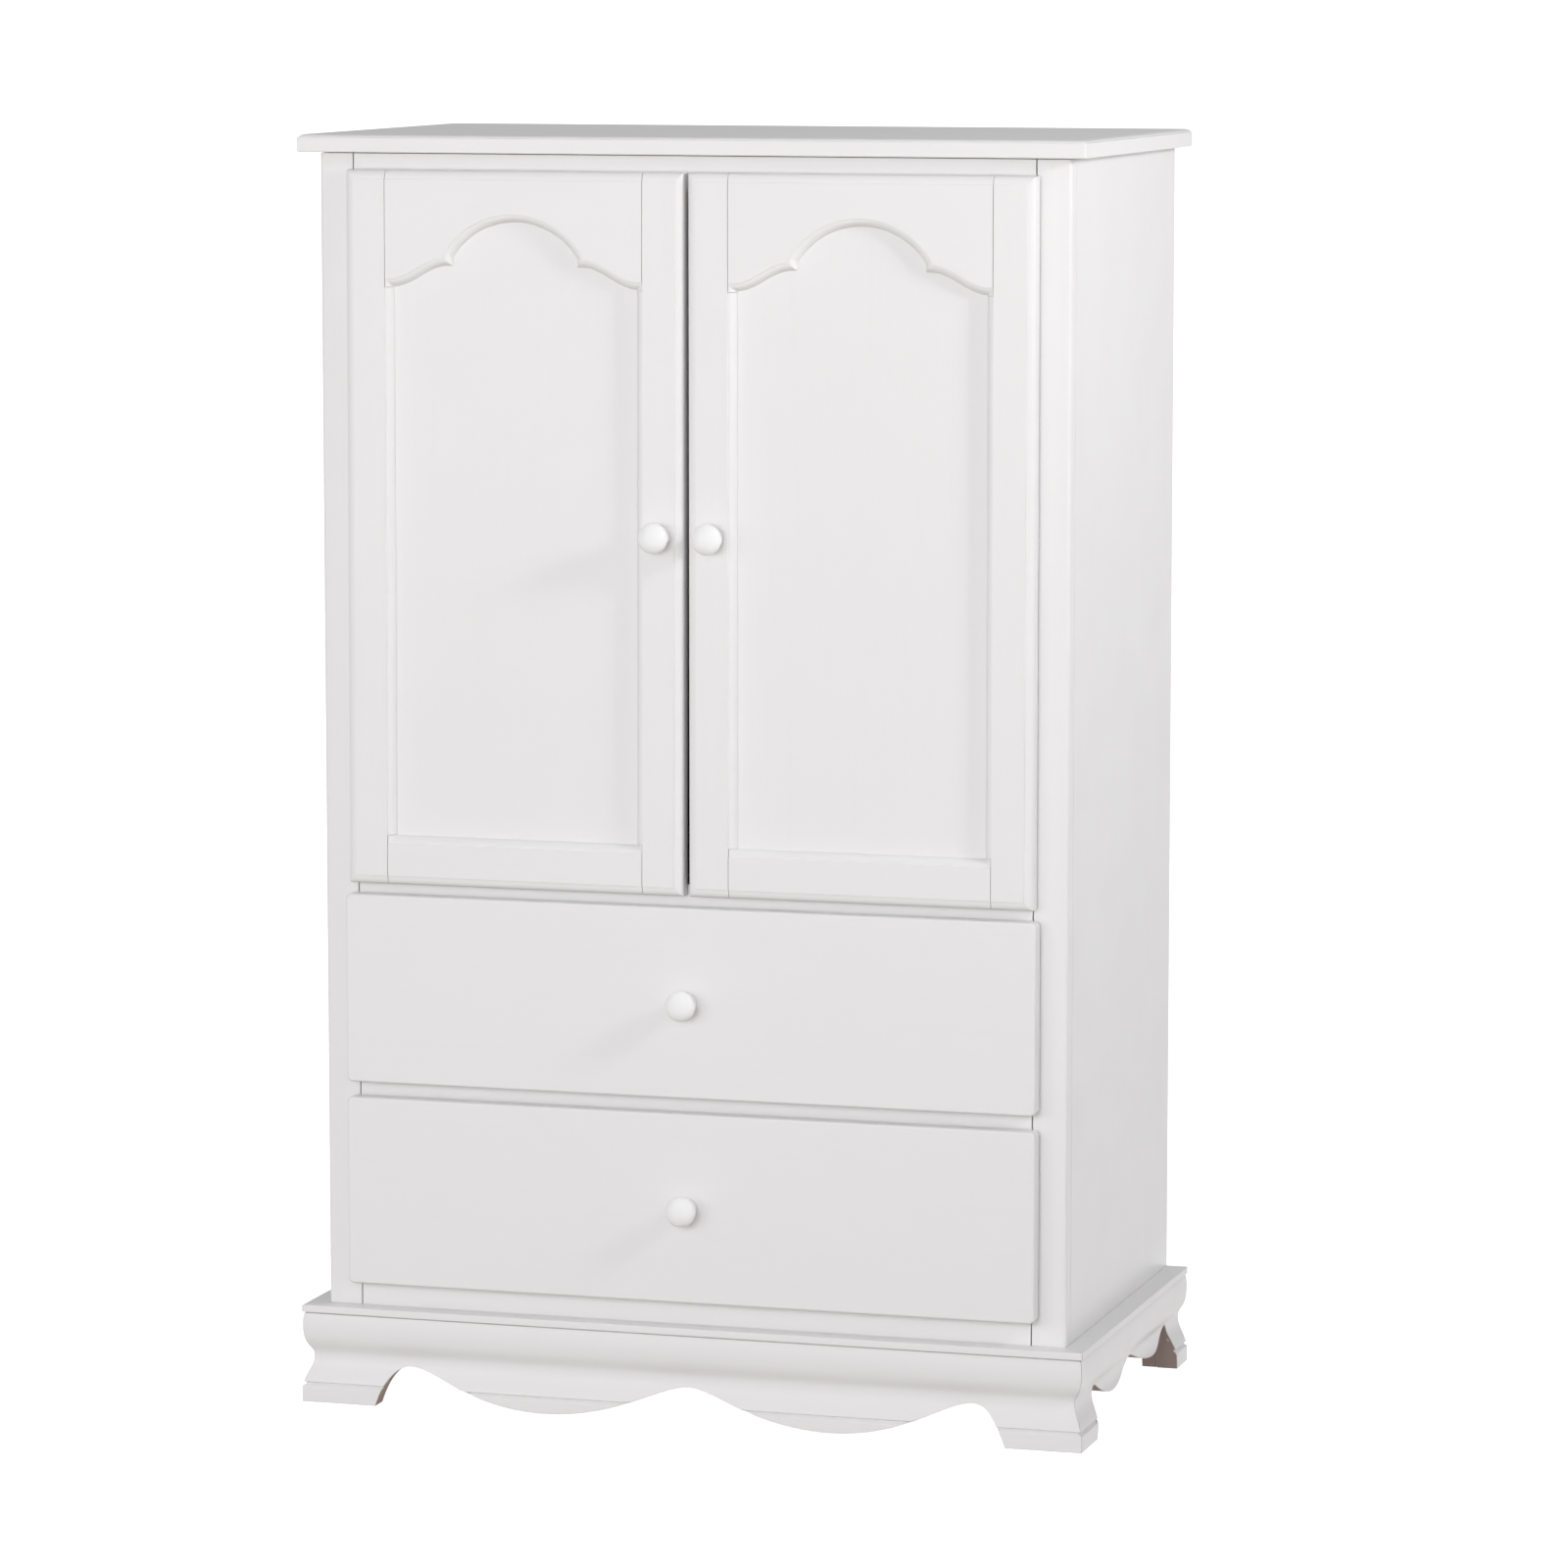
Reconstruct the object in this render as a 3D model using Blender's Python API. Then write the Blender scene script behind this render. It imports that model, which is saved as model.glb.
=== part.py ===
"""A painted two-door armoire over two drawers: a fixed case, two hinged doors, two drawers.

Metres, +X right, +Y back, +Z up. The front of the face frame is the plane y = 0 of the
case's own coordinates, and the whole case hangs from one empty that puts the middle of
its footprint at the world's origin. Doors hang from empties on their hinge axes and
drawers from empties on their slide axes.
"""

import math

import bmesh
import bpy
from mathutils import Matrix, Vector

# Fits
GAP = 0.0003  # between pieces that touch
HALF_GAP = GAP / 2
REACH = 0.010  # how far a cutter runs past what it cuts

# Overall sizes
CASE_WIDTH = 0.864
CASE_DEPTH = 0.478
HEIGHT = 1.436
TOP_THICK = 0.020
TOP_OVERHANG = 0.020
BASE_HEIGHT = 0.112
CASE_BOTTOM = 0.060  # underside of the case between its legs
PANEL_THICK = 0.018
BACK_THICK = 0.006
BACK_INSET = 0.003
EASE = 0.0015  # rounded arrises of plain boards

# Face frame
FRAME_THICK = 0.020
POST_WIDTH = 0.039
POST_ROUND = 0.004
RAIL_WIDTH = 0.035
TOP_RAIL_WIDTH = 0.040
JOINT_CHAMFER = 0.0009

# Doors
DOOR_THICK = 0.020
DOOR_GAP = 0.002  # between the frame and the back of a door or drawer front
DOOR_OVERLAY = 0.004
DOOR_MEETING_GAP = 0.006
DOOR_ABOVE_DRAWER = 0.0125
DOOR_BELOW_TOP = 0.019  # from the top board down to the doors
DOOR_FACE = 0.047  # width of a stile or of the bottom rail, as seen from the front
DOOR_EDGE_WIDTH = 0.0095
DOOR_EDGE_DEPTH = 0.009
DOOR_EDGE_STEP = 0.0011
STICK_WIDTH = 0.0085
STICK_DEPTH = 0.0097
STICK_STEP = 0.0012
DOOR_PANEL_THICK = 0.0065
DOOR_PANEL_LAP = 0.0105
STICK_PAST_PANEL = 0.0005  # the cutter for the sticking ends this far behind the panel's face
ARCH_RADIUS_SHARE = 0.633  # of half the opening's width
ARCH_HALF_SHARE = 0.540
ARCH_CROWN = 0.048  # rail left above the crown of the arch
ARCH_SPRING_STEP = 0.0036
SHOULDER_DROP = 0.0235
SHOULDER_RUN_SHARE = 0.427

# Drawers
DRAWER_OVERLAY = 0.008
DRAWER_FRONT_HEIGHT = 0.214
DRAWER_ABOVE_BASE = 0.028
DRAWER_SPACING = 0.0175
DRAWER_FRONT_ROUND = 0.003
DRAWER_CORNER_RADIUS = 0.003
DRAWER_SIDE_PLAY = 0.013
DRAWER_SIDE_THICK = 0.012
DRAWER_HEADROOM = 0.023
DRAWER_REAR_CLEARANCE = 0.041
DRAWER_BOX_LIFT = 0.006
DRAWER_FLOOR_LIFT = 0.010
DRAWER_FLOOR_THICK = 0.005
DRAWER_GROOVE = 0.006
DRAWER_BACK_LOWER = 0.004  # than the sides

# Centre glides under the drawers
GLIDE_WIDTH = 0.030
GLIDE_HEIGHT = 0.009
GLIDE_WALL = 0.002
GLIDE_CLEARANCE = 0.001
GLIDE_RUNNER_SHORTER = 0.030  # than the drawer's box

# Knobs
KNOB_LENGTH = 0.029
KNOB_RADIUS = 0.0172
KNOB_BASE_RADIUS = 0.0130
KNOB_NECK_RADIUS = 0.0085

# Hinges: one vertical axis inside the edge of each door
AXIS_INSET = 0.005
AXIS_DEPTH = 0.011
HINGE_FROM_END = 0.100
CUP_RADIUS = 0.0172
CUP_DEPTH = 0.0108
CUP_CAVITY_RADIUS = 0.0145
CUP_CAVITY_DEPTH = 0.0090
CUP_EDGE = 0.0225  # cup centre from the door's outer edge
CUP_FLANGE_LENGTH = 0.054
CUP_FLANGE_WIDTH = 0.024
CUP_FLANGE_THICK = 0.0012
ARM_PLATE_THICK = 0.0025
ARM_PLATE_HEIGHT = 0.050
ARM_PLATE_DEPTH = 0.015
ARM_REACH = 0.021
ARM_WIDTH = 0.014
ARM_CLEARANCE = 0.0004

# Base mouldings, measured outwards from the faces of the case
FOOT_OUT = 0.025
FOOT_BAND = 0.0173
WAIST_OUT = 0.0139
WAIST_HEIGHT = 0.053
BULGE_OUT = 0.0243
LEDGE_THICK = 0.0084
LEDGE_OUT = 0.0247
FLARE_OUT = 0.0236
FLARE_HEIGHT = 0.0235

# Scalloped lower edges: half width between the feet, lobes and peaks, and their heights
FRONT_FOOT = 0.085
FRONT_PEAK_FROM_FOOT = 0.042
FRONT_LOBE_SHARE = 0.509
FRONT_MIDDLE_PEAK = 0.043
FRONT_LOBE = 0.004
FRONT_END_PEAK = 0.046
FRONT_FOOT_LEAN = 0.009
SIDE_FOOT = 0.072
SIDE_REAR_FOOT = 0.046
SIDE_PEAK_FROM_FOOT = 0.024
SIDE_LOBE_SHARE = 0.565
SIDE_MIDDLE_PEAK = 0.055
SIDE_LOBE = 0.0355
SIDE_END_PEAK = 0.056
SIDE_FOOT_LEAN = 0.004
LEG_DEPTH = 0.035  # of the side panels' front legs
LEG_SLANT = 0.010

# Inside
SHELF_BELOW_TOP = 0.126  # from the top board down to the shelf
SHELF_SET_BACK = 0.030
CLEAT_SIZE = 0.020
ROD_BELOW_SHELF = 0.068
ROD_RADIUS = 0.014
SOCKET_RADIUS = 0.024
SOCKET_FLANGE = 0.004
SOCKET_DEPTH = 0.014
SOCKET_WALL = 0.003
CATCH_WIDTH = 0.052
CATCH_HEIGHT = 0.014
CATCH_DEPTH = 0.026
STRIKE_WIDTH = 0.016
STRIKE_HEIGHT = 0.026
STRIKE_THICK = 0.0009

# Places worked out from the sizes above
MITRE_GAP = HALF_GAP * math.sqrt(2)
HALF = CASE_WIDTH / 2
CASE_TOP = HEIGHT - TOP_THICK
OPENING = HALF - POST_WIDTH
INNER = HALF - PANEL_THICK
BACK_FRONT = CASE_DEPTH - BACK_INSET - BACK_THICK
BEHIND_FRAME = FRAME_THICK + GAP
FACE = -(DOOR_GAP + DOOR_THICK)
FRAME_Y = (DOOR_GAP + DOOR_THICK + KNOB_LENGTH - CASE_DEPTH) / 2
LOWER_DRAWER_BOTTOM = BASE_HEIGHT + DRAWER_ABOVE_BASE
LOWER_DRAWER_TOP = LOWER_DRAWER_BOTTOM + DRAWER_FRONT_HEIGHT
UPPER_DRAWER_BOTTOM = LOWER_DRAWER_TOP + DRAWER_SPACING
UPPER_DRAWER_TOP = UPPER_DRAWER_BOTTOM + DRAWER_FRONT_HEIGHT
DOOR_BOTTOM = UPPER_DRAWER_TOP + DOOR_ABOVE_DRAWER
DOOR_TOP = CASE_TOP - DOOR_BELOW_TOP
DRAWER_RAIL_BOTTOM = (LOWER_DRAWER_TOP + UPPER_DRAWER_BOTTOM - RAIL_WIDTH) / 2
DRAWER_RAIL_TOP = DRAWER_RAIL_BOTTOM + RAIL_WIDTH
MIDDLE_RAIL_BOTTOM = (UPPER_DRAWER_TOP + DOOR_BOTTOM - RAIL_WIDTH) / 2
BOTTOM_RAIL_TOP = LOWER_DRAWER_BOTTOM + (LOWER_DRAWER_TOP - DRAWER_RAIL_BOTTOM) + 0.003
CABINET_FLOOR_TOP = MIDDLE_RAIL_BOTTOM + RAIL_WIDTH
DRAWER_BOX_HEIGHT = MIDDLE_RAIL_BOTTOM - DRAWER_RAIL_TOP - DRAWER_BOX_LIFT - DRAWER_HEADROOM
DRAWER_BOX_LENGTH = BACK_FRONT - DRAWER_REAR_CLEARANCE + DOOR_GAP
SHELF_TOP = CASE_TOP - SHELF_BELOW_TOP
ROD_HEIGHT = SHELF_TOP - ROD_BELOW_SHELF
CATCH_TOP = CASE_TOP - TOP_RAIL_WIDTH - GAP
DOOR_OUTER = OPENING + DOOR_OVERLAY
DOOR_INNER = DOOR_MEETING_GAP / 2
DOOR_WIDTH = DOOR_OUTER - DOOR_INNER
DOOR_OPENING_HALF = DOOR_WIDTH / 2 - DOOR_FACE
AXIS_X = DOOR_OUTER - AXIS_INSET
AXIS_Y = -AXIS_DEPTH
HINGE_HEIGHTS = (DOOR_TOP - HINGE_FROM_END, DOOR_BOTTOM + HINGE_FROM_END)

# Colour, roughness and metallic value of each material
WHITE_PAINT = ("white_paint", (0.84, 0.84, 0.83), 0.38, 0.0)
RAW_WOOD = ("raw_wood", (0.62, 0.45, 0.28), 0.62, 0.0)
DRAWER_WOOD = ("drawer_wood", (0.74, 0.58, 0.39), 0.50, 0.0)
BACK_BOARD = ("back_board", (0.50, 0.36, 0.23), 0.70, 0.0)
PLATED_STEEL = ("plated_steel", (0.66, 0.66, 0.66), 0.28, 1.0)
BROWN_PLASTIC = ("brown_plastic", (0.16, 0.10, 0.06), 0.45, 0.0)


def clear_scene():
    for existing in list(bpy.data.objects):
        bpy.data.objects.remove(existing, do_unlink=True)


def material_of(finish):
    name, colour, roughness, metallic = finish
    material = bpy.data.materials.get(name) or bpy.data.materials.new(name)
    material.use_nodes = True
    shader = material.node_tree.nodes["Principled BSDF"]
    shader.inputs["Base Color"].default_value = (*colour, 1.0)
    shader.inputs["Roughness"].default_value = roughness
    shader.inputs["Metallic"].default_value = metallic
    return material


def add_empty(name, place, parent=None):
    empty = bpy.data.objects.new(name, None)
    bpy.context.scene.collection.objects.link(empty)
    empty.parent = parent
    empty.location = Vector(place) - (origin_of(parent) if parent else Vector())
    return empty


def origin_of(empty):
    """An empty's place in the case's coordinates, whose own empty is their origin."""
    if empty is None or empty.name == "case":
        return Vector()
    return empty.location.copy()


def add_mesh(name, bm, finish, parent, bevel=0.0, smooth=False):
    """Make one object of bm, which is in the case's coordinates, under the parent empty."""
    bmesh.ops.recalc_face_normals(bm, faces=bm.faces)
    bmesh.ops.translate(bm, verts=bm.verts, vec=-origin_of(parent))
    mesh = bpy.data.meshes.new(name)
    bm.to_mesh(mesh)
    bm.free()
    made = bpy.data.objects.new(name, mesh)
    bpy.context.scene.collection.objects.link(made)
    made.parent = parent
    if finish:
        mesh.materials.append(material_of(finish))
    if smooth:
        mesh.shade_smooth()
        mesh.set_sharp_from_angle(angle=math.radians(35))
    if bevel:
        rounding = made.modifiers.new("rounded_arrises", "BEVEL")
        rounding.width = bevel
        rounding.segments = 1
        rounding.limit_method = "ANGLE"
        rounding.angle_limit = math.radians(50)
    return made


def add_cutter(name, bm, parent):
    cutter = add_mesh(name, bm, None, parent)
    cutter.hide_render = True
    cutter.display_type = "WIRE"
    return cutter


def use_boolean(target, other, operation, solver="EXACT"):
    cut = target.modifiers.new(f"{operation.lower()}_{other.name}", "BOOLEAN")
    cut.operation = operation
    cut.solver = solver
    cut.object = other


def loft(rings):
    """A closed solid through rings of equally many points, with a flat cap at each end."""
    bm = bmesh.new()
    made = [[bm.verts.new(point) for point in ring] for ring in rings]
    count = len(made[0])
    for lower, upper in zip(made, made[1:]):
        for i in range(count):
            j = (i + 1) % count
            bm.faces.new((lower[i], lower[j], upper[j], upper[i]))
    bm.faces.new(made[0])
    bm.faces.new(made[-1])
    return bm


def box(low, high):
    x0, y0, z0 = low
    x1, y1, z1 = high
    corners = ((x0, y0), (x1, y0), (x1, y1), (x0, y1))
    return loft([[(x, y, z) for x, y in corners] for z in (z0, z1)])


def along_x(outline, low, high):
    return loft([[(x, y, z) for y, z in outline] for x in (low, high)])


def along_y(outline, low, high):
    return loft([[(x, y, z) for x, z in outline] for y in (low, high)])


def along_z(outline, low, high):
    return loft([[(x, y, z) for x, y in outline] for z in (low, high)])


def circle(radius, height, segments):
    angles = [2 * math.pi * i / segments for i in range(segments)]
    return [(radius * math.cos(a), radius * math.sin(a), height) for a in angles]


def cylinder(radius, low, high, segments=32):
    return loft([circle(radius, height, segments) for height in (low, high)])


def turned(profile, segments):
    """A solid turned about Z from (radius, height) points, the first and last on the axis."""
    bm = bmesh.new()
    first = bm.verts.new((0, 0, profile[0][1]))
    last = bm.verts.new((0, 0, profile[-1][1]))
    rings = []
    for radius, height in profile[1:-1]:
        rings.append([bm.verts.new(point) for point in circle(radius, height, segments)])
    for i in range(segments):
        j = (i + 1) % segments
        bm.faces.new((first, rings[0][i], rings[0][j]))
        bm.faces.new((last, rings[-1][j], rings[-1][i]))
        for lower, upper in zip(rings, rings[1:]):
            bm.faces.new((lower[i], lower[j], upper[j], upper[i]))
    return bm


def turn_to(bm, axis, place):
    """Turn bm's +Z to the axis and move its origin to the place."""
    turn = Vector((0, 0, 1)).rotation_difference(Vector(axis)).to_matrix().to_4x4()
    bmesh.ops.transform(bm, matrix=Matrix.Translation(place) @ turn, verts=bm.verts)
    return bm


def curve(start, start_handle, end_handle, end, steps):
    """Points of a cubic curve after its start, up to and with its end."""
    points = []
    for i in range(1, steps + 1):
        t = i / steps
        weights = ((1 - t) ** 3, 3 * t * (1 - t) ** 2, 3 * t * t * (1 - t), t**3)
        corners = (start, start_handle, end_handle, end)
        points.append(tuple(sum(w * c[k] for w, c in zip(weights, corners)) for k in (0, 1)))
    return points


def arc(centre, radius, start, end, steps):
    """Points on an arc from the start angle to the end angle, in degrees, both ends kept."""
    angles = [math.radians(start + (end - start) * i / steps) for i in range(steps + 1)]
    return [(centre[0] + radius * math.cos(a), centre[1] + radius * math.sin(a)) for a in angles]


def rounded_rectangle(low, high, radius, steps):
    (x0, z0), (x1, z1) = low, high
    corners = ((x1 - radius, z1 - radius, 0), (x0 + radius, z1 - radius, 90),
               (x0 + radius, z0 + radius, 180), (x1 - radius, z0 + radius, 270))
    return [p for x, z, turn in corners for p in arc((x, z), radius, turn, turn + 90, steps)]


def mirrored(points, side):
    return [(side * x, y) for x, y in points]


# The case


def top_board(case):
    """The top: square below, with a shallow step and a flat quarter round above."""
    step_height = 0.0165
    step_in = 0.0016
    round_in = 0.0105
    profile = [(EASE, 0), (0, EASE), (0, step_height), (step_in, step_height + 0.0004)]
    profile += curve(profile[-1], (step_in + 0.0006, TOP_THICK - 0.0010),
                     (step_in + 0.0045, TOP_THICK), (round_in, TOP_THICK), 4)
    rings = []
    for inset, height in profile:
        x = HALF + TOP_OVERHANG - inset
        front = -TOP_OVERHANG + inset
        z = CASE_TOP + height
        rings.append([(-x, front, z), (x, front, z), (x, CASE_DEPTH, z), (-x, CASE_DEPTH, z)])
    add_mesh("top_board", loft(rings), WHITE_PAINT, case)


def side_panel(name, side, case):
    """A side down to the floor, cut away between its two legs."""
    front = BEHIND_FRAME
    front_leg = front + LEG_DEPTH
    rear_leg = CASE_DEPTH - SIDE_REAR_FOOT
    top = CASE_TOP - GAP
    outline = [(front, 0), (front_leg, 0), (front_leg, CASE_BOTTOM),
               (rear_leg - LEG_SLANT, CASE_BOTTOM), (rear_leg, 0), (CASE_DEPTH, 0),
               (CASE_DEPTH, top), (front, top)]
    inner, outer = sorted((side * INNER, side * HALF))
    add_mesh(name, along_x(outline, inner, outer), WHITE_PAINT, case, bevel=JOINT_CHAMFER)


def front_post(name, side, case):
    """A stile of the face frame, with its outer corner rounded and its back arris eased."""
    centre = (HALF - POST_ROUND, POST_ROUND)
    outline = [(OPENING, 0)]
    outline += arc(centre, POST_ROUND, 270, 360, 5)
    outline += [(HALF, FRAME_THICK - JOINT_CHAMFER), (HALF - JOINT_CHAMFER, FRAME_THICK),
                (OPENING, FRAME_THICK)]
    add_mesh(name, along_z(mirrored(outline, side), 0, CASE_TOP - GAP), WHITE_PAINT, case)


def frame_rail(name, low, high, case):
    half = OPENING - GAP
    add_mesh(name, box((-half, 0, low), (half, FRAME_THICK, high)), WHITE_PAINT, case, bevel=0.0006)


def board(name, half_width, front, back, low, high, finish, case):
    add_mesh(name, box((-half_width, front, low), (half_width, back, high)), finish, case, bevel=EASE)


def case_pieces(case):
    top_board(case)
    for name, side in (("left", -1), ("right", 1)):
        side_panel(f"{name}_side_panel", side, case)
        front_post(f"{name}_front_post", side, case)
    frame_rail("top_rail", CASE_TOP - TOP_RAIL_WIDTH, CASE_TOP - GAP, case)
    frame_rail("middle_rail", MIDDLE_RAIL_BOTTOM, CABINET_FLOOR_TOP, case)
    frame_rail("drawer_rail", DRAWER_RAIL_BOTTOM, DRAWER_RAIL_TOP, case)
    frame_rail("bottom_rail", CASE_BOTTOM, BOTTOM_RAIL_TOP, case)
    width = INNER - GAP
    board("back_panel", width, BACK_FRONT, BACK_FRONT + BACK_THICK, BASE_HEIGHT, CASE_TOP - GAP,
          BACK_BOARD, case)
    board("cabinet_floor", width, BEHIND_FRAME, BACK_FRONT - GAP, CABINET_FLOOR_TOP - PANEL_THICK,
          CABINET_FLOOR_TOP, RAW_WOOD, case)
    board("bottom_board", width, BEHIND_FRAME, BACK_FRONT - GAP, BASE_HEIGHT,
          BASE_HEIGHT + PANEL_THICK, RAW_WOOD, case)
    board("shelf", width, SHELF_SET_BACK, BACK_FRONT - GAP, SHELF_TOP - PANEL_THICK, SHELF_TOP,
          RAW_WOOD, case)


def inside_fittings(case):
    """Shelf cleats, the hanging rod in its two sockets, and the double magnetic door catch."""
    cleat_top = SHELF_TOP - PANEL_THICK - GAP
    outer = INNER - GAP
    for name, side in (("left", -1), ("right", 1)):
        low, high = sorted((side * (outer - CLEAT_SIZE), side * outer))
        cleat = box((low, SHELF_SET_BACK + 0.010, cleat_top - CLEAT_SIZE),
                    (high, BACK_FRONT - 0.010, cleat_top))
        add_mesh(f"{name}_shelf_cleat", cleat, RAW_WOOD, case, bevel=EASE)
    middle = (BEHIND_FRAME + BACK_FRONT) / 2
    bore = ROD_RADIUS + GAP
    for name, side in (("left", -1), ("right", 1)):
        profile = [(0.0, 0), (SOCKET_RADIUS, 0), (SOCKET_RADIUS, SOCKET_FLANGE),
                   (bore + SOCKET_WALL, SOCKET_FLANGE), (bore + SOCKET_WALL, SOCKET_DEPTH),
                   (bore, SOCKET_DEPTH), (bore, SOCKET_FLANGE), (0.0, SOCKET_FLANGE)]
        socket = turn_to(turned(profile, 28), (-side, 0, 0), (side * outer, middle, ROD_HEIGHT))
        add_mesh(f"{name}_rod_socket", socket, PLATED_STEEL, case, smooth=True)
    rod_half = outer - SOCKET_FLANGE - GAP
    rod = turn_to(cylinder(ROD_RADIUS, -rod_half, rod_half, 28), (1, 0, 0), (0, middle, ROD_HEIGHT))
    add_mesh("clothes_rod", rod, DRAWER_WOOD, case, smooth=True)
    catch_front = -(DOOR_GAP - GAP - STRIKE_THICK) + GAP
    catch = box((-CATCH_WIDTH / 2, catch_front, CATCH_TOP - CATCH_HEIGHT),
                (CATCH_WIDTH / 2, catch_front + CATCH_DEPTH, CATCH_TOP))
    add_mesh("door_catch", catch, BROWN_PLASTIC, case, bevel=0.001)


# The base


def base_profile():
    """(outwards, height) round a base moulding: ledge, bulge, waist, flare and foot band."""
    ledge_bottom = BASE_HEIGHT - LEDGE_THICK
    quirk = (BULGE_OUT - 0.0019, ledge_bottom - 0.0002)
    profile = [(GAP, 0), (GAP, BASE_HEIGHT), (LEDGE_OUT - 0.0013, BASE_HEIGHT),
               (LEDGE_OUT, BASE_HEIGHT - 0.0013), (LEDGE_OUT, ledge_bottom + 0.0010), quirk]
    shoulder = (BULGE_OUT - 0.0028, WAIST_HEIGHT + 0.017)
    profile += curve(quirk, (BULGE_OUT + 0.0003, ledge_bottom - 0.006),
                     (BULGE_OUT + 0.0009, shoulder[1] + 0.010), shoulder, 6)
    waist = (WAIST_OUT, WAIST_HEIGHT)
    profile += curve(shoulder, (shoulder[0] - 0.003, shoulder[1] - 0.008),
                     (WAIST_OUT, WAIST_HEIGHT + 0.007), waist, 4)
    flare = (FLARE_OUT, FLARE_HEIGHT)
    profile += curve(waist, (WAIST_OUT, WAIST_HEIGHT - 0.011), (FLARE_OUT - 0.004, FLARE_HEIGHT + 0.012),
                     flare, 6)
    profile += [(FLARE_OUT - 0.0012, FLARE_HEIGHT - 0.0015), (FOOT_OUT - 0.0018, FOOT_BAND + 0.0018),
                (FOOT_OUT, FOOT_BAND), (FOOT_OUT, 0)]
    return profile


def scallop(foot_edge, peak_from_foot, lobe_share, middle_peak, lobe, end_peak, foot_lean):
    """The right half of a lower edge, from its middle peak over a lobe to the foot."""
    peak_at = foot_edge - peak_from_foot
    lobe_at = lobe_share * peak_at
    rise = peak_at - lobe_at
    half = [(0.0, middle_peak)]
    half += curve((0.0, middle_peak), (lobe_at * 0.19, middle_peak), (lobe_at * 0.50, lobe),
                  (lobe_at, lobe), 9)
    half += curve((lobe_at, lobe), (lobe_at + rise * 0.52, lobe), (peak_at - rise * 0.20, end_peak),
                  (peak_at, end_peak), 9)
    half += curve((peak_at, end_peak), (peak_at + peak_from_foot * 0.40, end_peak),
                  (foot_edge - foot_lean, end_peak * 0.55), (foot_edge, -REACH), 7)
    return half


def both_halves(half):
    return [(-x, z) for x, z in reversed(half[1:])] + half


def base_front(case):
    profile = base_profile()
    rings = [[(side * (HALF + out - MITRE_GAP), -out, z) for out, z in profile] for side in (-1, 1)]
    made = add_mesh("base_front", loft(rings), WHITE_PAINT, case)
    foot_edge = HALF + FOOT_OUT - FRONT_FOOT
    outline = both_halves(scallop(foot_edge, FRONT_PEAK_FROM_FOOT, FRONT_LOBE_SHARE, FRONT_MIDDLE_PEAK,
                                  FRONT_LOBE, FRONT_END_PEAK, FRONT_FOOT_LEAN))
    cutter = add_cutter("base_front_cutter", along_y(outline, -FOOT_OUT - REACH, REACH), case)
    use_boolean(made, cutter, "DIFFERENCE")


def base_side(name, side, case):
    front_ring = []
    rear_ring = []
    for out, z in base_profile():
        x = side * (HALF + out)
        front_ring.append((x, MITRE_GAP - out, z))
        rear_ring.append((x, CASE_DEPTH, z))
    made = add_mesh(name, loft([front_ring, rear_ring]), WHITE_PAINT, case)
    front_edge = SIDE_FOOT - FOOT_OUT
    rear_edge = CASE_DEPTH - SIDE_REAR_FOOT
    middle = (front_edge + rear_edge) / 2
    half = scallop(rear_edge - middle, SIDE_PEAK_FROM_FOOT, SIDE_LOBE_SHARE, SIDE_MIDDLE_PEAK,
                   SIDE_LOBE, SIDE_END_PEAK, SIDE_FOOT_LEAN)
    outline = [(middle + y, z) for y, z in both_halves(half)]
    low, high = sorted((side * (HALF - REACH), side * (HALF + FOOT_OUT + REACH)))
    cutter = add_cutter(f"{name}_cutter", along_x(outline, low, high), case)
    use_boolean(made, cutter, "DIFFERENCE")


# Knobs, shared by doors and drawers


def knob(name, x, z, parent):
    """A turned mushroom knob standing on the face at x, z."""
    head_back = KNOB_LENGTH * 0.50
    profile = [(0.0, GAP), (KNOB_BASE_RADIUS, GAP), (KNOB_BASE_RADIUS, 0.0025)]
    profile += curve(profile[-1], (KNOB_NECK_RADIUS, 0.0035), (KNOB_NECK_RADIUS, head_back - 0.006),
                     (KNOB_NECK_RADIUS + 0.0012, head_back - 0.002), 5)
    profile += curve(profile[-1], (KNOB_RADIUS - 0.003, head_back), (KNOB_RADIUS, head_back + 0.001),
                     (KNOB_RADIUS, head_back + 0.0042), 4)
    profile += curve(profile[-1], (KNOB_RADIUS, KNOB_LENGTH - 0.005), (KNOB_RADIUS * 0.62, KNOB_LENGTH),
                     (KNOB_RADIUS * 0.18, KNOB_LENGTH), 7)
    profile.append((0.0, KNOB_LENGTH))
    made = turn_to(turned(profile, 28), (0, -1, 0), (x, FACE, z))
    add_mesh(name, made, WHITE_PAINT, parent, smooth=True)


# Doors


def door_blank(side):
    """The whole outside of a door as one solid, with its moulded outer edge."""
    lip = FACE + DOOR_EDGE_DEPTH
    crest = FACE + DOOR_EDGE_STEP
    profile = [(0.0, -DOOR_GAP), (0.0, lip)]
    profile += curve((0.0, lip), (0.0, lip - 0.0055), (0.0040, crest), (DOOR_EDGE_WIDTH, crest), 5)
    profile.append((DOOR_EDGE_WIDTH, FACE))
    rings = []
    for inset, y in profile:
        low, high = sorted((side * (DOOR_INNER + inset), side * (DOOR_OUTER - inset)))
        bottom, top = DOOR_BOTTOM + inset, DOOR_TOP - inset
        rings.append([(low, y, bottom), (high, y, bottom), (high, y, top), (low, y, top)])
    return loft(rings)


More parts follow.
